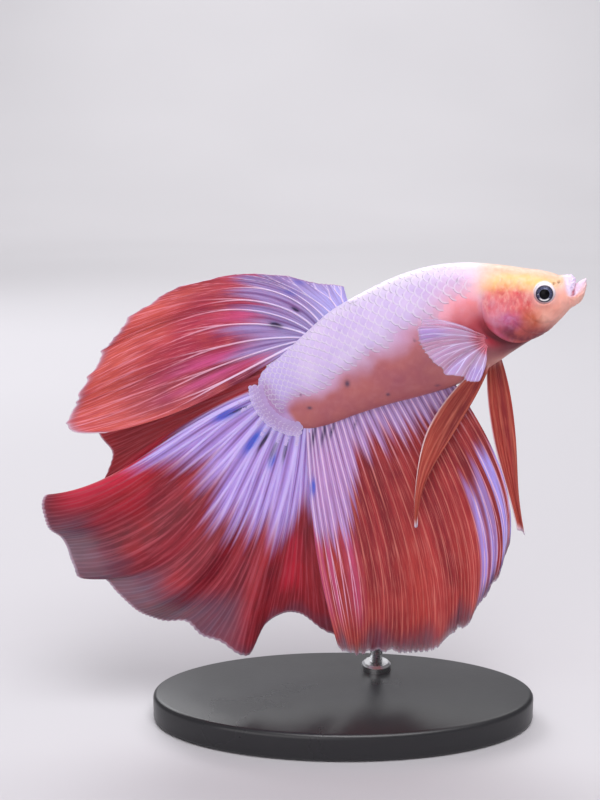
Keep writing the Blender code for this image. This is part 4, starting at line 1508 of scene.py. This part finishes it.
def skin_material():
    """Soft wet skin with fine pores."""
    material, tree, shader = finish("skin", {
        "Subsurface Weight": 0.2, "Subsurface Scale": 0.0007,
        "Subsurface Radius": (1.0, 0.35, 0.3), "Coat Weight": 0.15, "Coat Roughness": 0.18,
        "Specular IOR Level": 0.3})
    group = put(tree, "Group", node_tree=MARKINGS).outputs
    fill(tree, shader, {
        "Base Color": group["Color"],
        "Roughness": ramp(tree, group["Wet"], WET_LOW, WET_HIGH, 0.36, 0.52)})
    pores = calc(tree, "ADD", noise(tree, 2600.0, 3.0), times(tree, noise(tree, 900.0), 0.8))
    bump(tree, shader, pores, 0.00004, 0.6)
    return material


dress(skin_material(), skin)
print("skin is painted")

# %% [markdown]
# The scales take the same colours. Their free edge is paler, where the shine is thickest: partly
# the scale's own shine and partly a painted highlight. A thin grey-violet line runs along its
# very rim: a painted shadow line that makes each scale readable.

# %% Scale material
def scale_material():
    material, tree, shader = finish("scales", {
        "Subsurface Weight": 0.15, "Subsurface Scale": 0.0006,
        "Subsurface Radius": (1.0, 0.4, 0.4), "Coat Weight": 0.2, "Coat Roughness": 0.2,
        "Specular IOR Level": 0.4})
    group = put(tree, "Group", node_tree=MARKINGS).outputs
    shine, rim, nape = (attribute(tree, key) for key in ("shine", "rim", "nape"))
    free = ramp(tree, "rear", -0.3, 0.4)
    shade = ramp(tree, "shade", -1.0, 1.0, 0.0, 0.30)
    # pale: painted highlight on the free edge over the scale's own shine; dark: painted shadow line
    # along the rim
    pale = times(tree, ramp(tree, rim, 0.66, 0.88), times(tree, free, shine))
    faint = times(tree, shine, shine, free, ramp(tree, nape, 0.0, 1.0, 1.0, 0.35))
    dark = times(tree, ramp(tree, rim, 0.90, 0.98), faint)
    colour = over(tree, group["Color"], [
        (times(tree, shade, shine), "c4b0e6"),
        (times(tree, pale, 0.6), mix(tree, nape, paint("f8eeff"), paint("fff4e6"))),
        (times(tree, dark, 0.35), mix(tree, nape, paint("9480b0"), paint("c8a07c")))])
    fill(tree, shader, {
        "Base Color": colour,
        "Roughness": ramp(tree, group["Wet"], WET_LOW, WET_HIGH, 0.30, 0.46)})
    bump(tree, shader, noise(tree, 2400.0, 2.0), 0.00003, 0.5)
    return material


for piece in (scales, beads):
    dress(scale_material(), piece)
print("scales are painted")

# %% [markdown]
# ## Fin colours
#
# A fin's membrane is stained and streaked along the rays, and the rays themselves are paler.
# One group does this for every fin: it mixes an inner and an outer colour by the border mask,
# adds streaks that are long along the rays and thin across them and painted shade in the folds,
# then the rays, the blue-black blots and the pale, clearer edge.

# %% Fin group
FIN_COLOURS = {key: paint(code) for key, code in {
    "Inner": "9c86d4", "Inner Light": "b4a0e4", "Inner Ray": "cdbdf4", "Inner Dark": "704e90",
    "Outer": "8e2c38", "Outer Deep": "661826", "Outer Bright": "ac1822", "Outer Ray": "a84a58",
    "Front": "b8b4ea", "Frost": "eab8dc", "Blue": "3e5cc8", "Dark": "262248", "Hot": "cc2846",
    "Edge": "5c4058", "Rim": "d8c8dc"}.items()}
# near-black for the painted shade in the fins' folds
FOLD_SHADE_BLACK = paint("300812")


def shine_layers(tree, ins, ray, gap, broad, thin, hair):
    """The fin's inner part: streaks of shine, dark between the rays and pale on them."""
    colour = mix(tree, ramp(tree, thin, 0.35, 0.65), ins["Inner"], ins["Inner Light"])
    return over(tree, colour, [
        (times(tree, gap, ramp(tree, broad, 0.62, 0.38, 0.3, 0.9)), ins["Inner Dark"]),
        (ramp(tree, hair, 0.54, 0.68, 0.0, 0.45), ins["Inner Dark"]),
        (times(tree, ray, ramp(tree, broad, 0.3, 0.6, 0.5)), ins["Inner Ray"])])


def red_layers(tree, ins, ray, gap, broad, thin, hair):
    """The fin's outer part: dark and bright reds in streaks, with painted shade in the folds, under
    faint rays and frost.
    """
    warm = ramp(tree, noise(tree, 170.0, 3.0), 0.50, 0.68, 0.0, 0.4)
    lit_ray = times(tree, ray, ramp(tree, thin, 0.35, 0.65, 0.15, 0.75))
    pale_ray = times(tree, ray, ramp(tree, broad, 0.35, 0.6, 0.5))
    colour = mix(tree, ramp(tree, broad, 0.40, 0.60), ins["Outer Deep"], ins["Outer"])
    return over(tree, colour, [
        (times(tree, gap, 0.45), ins["Outer Deep"]),
        # painted shade in the folds, dark red mixed with near-black
        (times(tree, "deep", 0.7), mix(tree, 0.5, ins["Outer Deep"], FOLD_SHADE_BLACK)),
        (times(tree, "bright", ramp(tree, thin, 0.3, 0.6, 0.5)), ins["Outer Bright"]),
        (warm, ins["Outer Bright"]),
        (ramp(tree, thin, 0.58, 0.72, 0.0, 0.6), ins["Outer Deep"]),
        (ramp(tree, hair, 0.52, 0.66, 0.0, 0.4), ins["Outer Deep"]),
        (ramp(tree, hair, 0.46, 0.34, 0.0, 0.35), ins["Outer Ray"]),
        (times(tree, "hot", ramp(tree, thin, 0.3, 0.55, 0.45)), ins["Hot"]),
        (times(tree, lit_ray, ramp(tree, "edge", 0.0, 1.0, 1.0, 0.3)), ins["Outer Ray"]),
        (times(tree, "frost", pale_ray), ins["Frost"])])


def fin_group():
    tree, ins, out = new_group(
        "fin_colours", FIN_COLOURS | {"Streaks": 1.0, "Edge Clear": 0.3, "Clear": 0.0},
        {"Color": "Color", "Alpha": "Float", "Height": "Float"})
    across = times(tree, "across", ins["Streaks"])
    along, ray, gap = (attribute(tree, key) for key in ("along", "ray", "gap"))

    def streaks(fine, length, seed, detail=3.0):
        """Noise that is long along the rays and thin across them."""
        place = put(tree, "CombineXYZ", {0: times(tree, across, fine),
                                         1: times(tree, along, length), 2: seed})
        return noise(tree, 1.0, detail, place.outputs[0])

    broad, thin, hair = streaks(1.1, 0.09, 1.0), streaks(6.5, 0.16, 5.0), streaks(19.0, 0.3, 9.0)
    red = red_layers(tree, ins, ray, gap, broad, thin, hair)
    shine = shine_layers(tree, ins, ray, gap, broad, thin, hair)
    colour = over(tree, red, [
        ("inner", shine),
        (times(tree, "front", ramp(tree, thin, 0.3, 0.55, 0.5)),
         mix(tree, ray, ins["Front"], ins["Inner Ray"]))])
    for key in ("Blue", "Dark"):
        blot = times(tree, key.lower(), ramp(tree, thin, 0.3, 0.5, 0.5))
        between = calc(tree, "SUBTRACT", 1.0, times(tree, ray, 0.4))
        colour = mix(tree, times(tree, blot, between), colour, ins[key])
    edge = times(tree, "edge", ramp(tree, broad, 0.3, 0.6, 0.7), ramp(tree, thin, 0.3, 0.6, 0.6))
    see = calc(tree, "MAXIMUM", times(tree, edge, ins["Edge Clear"]),
               times(tree, "clear", ins["Clear"]))
    colour = over(tree, colour, [
        (edge, mix(tree, times(tree, ray, 0.10), ins["Edge"], ins["Rim"])),
        (times(tree, "rim", 0.75), ins["Rim"])])
    fill(tree, out, {"Color": colour, "Alpha": calc(tree, "SUBTRACT", 1.0, see, True),
                     "Height": streaks(9.0, 2.2, 3.0, 2.0)})
    return tree


FIN_GROUP = fin_group()


def fin_material(name, colours, edge_clear=0.3, clear=0.0, streaks=1.0):
    """Fin finish. colours changes some of the group's colours."""
    material, tree, shader = finish(name, {
        "Roughness": 0.48, "Coat Weight": 0.08, "Coat Roughness": 0.3,
        "Subsurface Weight": 0.2, "Subsurface Scale": 0.0006,
        "Subsurface Radius": (1.0, 0.3, 0.3), "Specular IOR Level": 0.25})
    paints = {key: paint(code) for key, code in colours.items()}
    group = put(tree, "Group", node_tree=FIN_GROUP)
    fill(tree, group, paints | {"Streaks": streaks, "Edge Clear": edge_clear, "Clear": clear})
    fill(tree, shader, {"Base Color": group.outputs["Color"], "Alpha": group.outputs["Alpha"]})
    bump(tree, shader, group.outputs["Height"], 0.00008, 0.5)
    return material


dress(fin_material("dorsal fin", {
    "Outer": "a8344e", "Outer Deep": "7c2240", "Outer Bright": "cc5a4e", "Outer Ray": "e892a6",
    "Inner": "8c7cb4", "Inner Light": "a494c8", "Inner Ray": "e2d2f0", "Inner Dark": "6c4c88",
    "Front": "b2b4f2", "Frost": "f0ccea", "Edge": "b08098", "Rim": "e8d8ec", "Hot": "dc5c9c"}),
    dorsal)
dress(fin_material("tail fin", {}, edge_clear=0.15, clear=0.25), caudal)
dress(fin_material("anal fin", {
    "Outer": "963036", "Outer Deep": "741c28", "Outer Bright": "b84440", "Outer Ray": "d88478",
    "Inner": "a684bc", "Inner Light": "c0a0d8", "Inner Ray": "e2c4e8", "Inner Dark": "7c547e",
    "Front": "a49cea", "Hot": "cc5a90"}, clear=0.4, streaks=0.8), anal)
for piece in (pelvic_right, pelvic_left):
    dress(fin_material("pelvic fin " + piece.name[-4:], {
        "Outer": "9a3030", "Outer Deep": "7c2228", "Outer Bright": "b4503a",
        "Outer Ray": "c86c5a", "Inner": "d8a8a8", "Inner Light": "e4bcc0",
        "Inner Ray": "f0d8dc", "Inner Dark": "b88090", "Edge": "e0d0e4"},
        edge_clear=0.1, streaks=0.5), piece)
dress(fin_material("pectoral fins", {
    "Inner": "cca8d2", "Inner Light": "d6b8dc", "Inner Dark": "be90c0", "Inner Ray": "dccff2",
    "Front": "b0a0ee", "Outer": "cc5468", "Outer Deep": "b84458", "Outer Ray": "ec98a8",
    "Edge": "e0d4f4"}, edge_clear=0.2, clear=0.68), pectoral_right, pectoral_left)
print("fins are painted")

# %% [markdown]
# The eye needs only its own two attributes: the distance from its axis gives the rings, and
# the turn round it places the painted highlights of the crescent and of the outer ring's top,
# and the fine rays of the iris.

# %% Eye material
def eye_material():
    """Rings by distance from the eye's axis, under a wet coat."""
    material, tree, shader = finish("eye", {
        "Roughness": 0.3, "Coat Weight": 0.18, "Coat Roughness": 0.03, "Coat IOR": 1.34,
        "Specular IOR Level": 0.1})
    reach, turn = attribute(tree, "reach"), attribute(tree, "turn")
    high = calc(tree, "SINE", turn)
    rays = noise(tree, 1.0, 3.0, put(tree, "CombineXYZ", {
        0: times(tree, turn, 5.0), 1: times(tree, reach, 1.5)}).outputs[0])
    iris = mottled(tree, rays, 0.35, 0.65, "34344a", "565a78")
    iris = over(tree, iris, [(ramp(tree, reach, 0.82, 0.92), "26222e")])
    # the crescent is a painted highlight low in the iris
    crescent = times(tree, ramp(tree, reach, 0.60, 0.66), ramp(tree, reach, 0.83, 0.76),
                     ramp(tree, high, -0.60, -0.86))
    colour = over(tree, mottled(tree, reach, 0.56, 0.60, "030106", "6a6e88"), [
        (ramp(tree, reach, 0.61, 0.67), iris),
        (crescent, "ffffff"),
        (ramp(tree, reach, 0.94, 0.98), "b4acb8"),
        # outer ring: greyer below, painted whiter at the top as a highlight
        (ramp(tree, reach, 0.98, 1.03), mottled(tree, high, -0.3, 0.6, "d2c0c8", "ece4ec"))])
    silver = times(tree, ramp(tree, reach, 0.56, 0.60), ramp(tree, reach, 0.70, 0.64), 0.4)
    fill(tree, shader, {"Base Color": colour, "Metallic": silver})
    return material


dress(eye_material(), eye_right, eye_left)
print("eyes are painted")

# %% [markdown]
# The stand should not draw the eye: a satin black plate and a brushed steel rod, both with
# slight marks in their roughness, so that they look made and not drawn.

# %% Stand materials
def plastic_material():
    """Satin black moulding with faint marks on its top."""
    material, tree, shader = finish("stand plastic", {
        "Base Color": paint("232326"), "Specular IOR Level": 0.45})
    fill(tree, shader, {"Roughness": ramp(tree, noise(tree, 90.0, 5.0), 0.35, 0.7, 0.26, 0.40)})
    bump(tree, shader, noise(tree, 3000.0, 3.0), 0.00002, 0.4)
    return material


def steel_material():
    """Brushed round bar: fine rings across its length."""
    material, tree, shader = finish("stand steel", {
        "Base Color": paint("c4c4c6"), "Metallic": 1.0})
    rings = put(tree, "Mapping", {"Vector": own_place(tree), "Scale": (1.0, 1.0, 14.0)})
    brushed = noise(tree, 700.0, 3.0, rings.outputs[0])
    fill(tree, shader, {"Roughness": ramp(tree, brushed, 0.3, 0.7, 0.22, 0.38)})
    bump(tree, shader, brushed, 0.00001, 0.5)
    return material


dress(plastic_material(), stand_plate)
dress(steel_material(), stand_post, stand_collar)
print("stand is painted")

# %% [markdown]
# ## The studio
#
# A plain pale sweep, flat under the stand and curving up behind it, keeps the eye on the fish.
# A large soft lamp above and a little in front is the main light, as over a fish tank. A weak
# one from the camera's side opens the shadows, a third from behind lights the fins' edges, and
# a fourth lights the sweep.

# %% Floor
FLOOR_SIZE, SWEEP_START, SWEEP_RADIUS = 5.0, 0.8, 0.9
bm = bmesh.new()
bmesh.ops.create_grid(bm, x_segments=2, y_segments=160, size=FLOOR_SIZE / 2)
for vert in bm.verts:
    past = vert.co.y - SWEEP_START
    if past > 0:
        turn = min(past / SWEEP_RADIUS, math.pi / 2)
        vert.co.y = SWEEP_START + SWEEP_RADIUS * math.sin(turn)
        vert.co.z = (SWEEP_RADIUS * (1 - math.cos(turn))
                     + max(past - SWEEP_RADIUS * math.pi / 2, 0.0))
for face in bm.faces:
    face.smooth = True
mesh = bpy.data.meshes.new("floor")
bm.to_mesh(mesh)
bm.free()
floor = bpy.data.objects.new("floor", mesh)
bpy.context.scene.collection.objects.link(floor)
floor_finish, tree, shader = finish("floor", {"Roughness": 0.85})
fill(tree, shader, {"Base Color": mottled(tree, noise(tree, 3.0), 0.3, 0.7, "bfbdc1", "c5c3c7")})
dress(floor_finish, floor)
print("floor:", FLOOR_SIZE, "m wide")

# %% Lights
def lamp(name, place, aim, size, power, colour):
    """Square soft light at place that faces aim, in metres."""
    data = bpy.data.lights.new(name, "AREA")
    data.size, data.energy, data.color = size, power, colour
    piece = bpy.data.objects.new(name, data)
    bpy.context.scene.collection.objects.link(piece)
    piece.location = place
    away = piece.location - Vector(aim)
    piece.rotation_euler = away.to_track_quat("Z", "Y").to_euler()


FISH, SWEEP = (0.0, 0.0, 0.045), (0.0, 1.2, 0.0)      # what the lamps face
lamp("key", (0.06, -0.20, 0.42), FISH, 0.26, 1.6, (1.0, 0.98, 1.0))
lamp("fill", (-0.20, -0.45, 0.14), FISH, 0.40, 0.8, (1.0, 0.97, 0.98))
lamp("rim", (-0.18, 0.30, 0.30), FISH, 0.25, 0.7, (0.96, 0.97, 1.0))
lamp("backdrop", (0.0, 0.92, 0.9), SWEEP, 1.2, 12.0, (1.0, 1.0, 1.0))
world = bpy.data.worlds.new("world")
bpy.context.scene.world = world
world.use_nodes = True
fill(world.node_tree, world.node_tree.nodes["Background"],
     {"Color": paint("e4e2e6"), "Strength": 0.35})
bpy.context.scene.view_settings.view_transform = "Standard"
print("lights:", [item.name for item in bpy.data.lights])

# %% Camera
CAMERA_PLACE, CAMERA_TILT = (-0.005448, -0.140853, 0.070972), 78.0     # metres and degrees
camera_data = bpy.data.cameras.new("camera")
camera_data.lens, camera_data.clip_start = 54.0, 0.001
camera = bpy.data.objects.new("camera", camera_data)
bpy.context.scene.collection.objects.link(camera)
camera.location = CAMERA_PLACE
camera.rotation_euler = (math.radians(CAMERA_TILT), 0.0, 0.0)
bpy.context.scene.camera = camera
print("camera is", round(camera.location.length, 3), "m from the stand's middle")
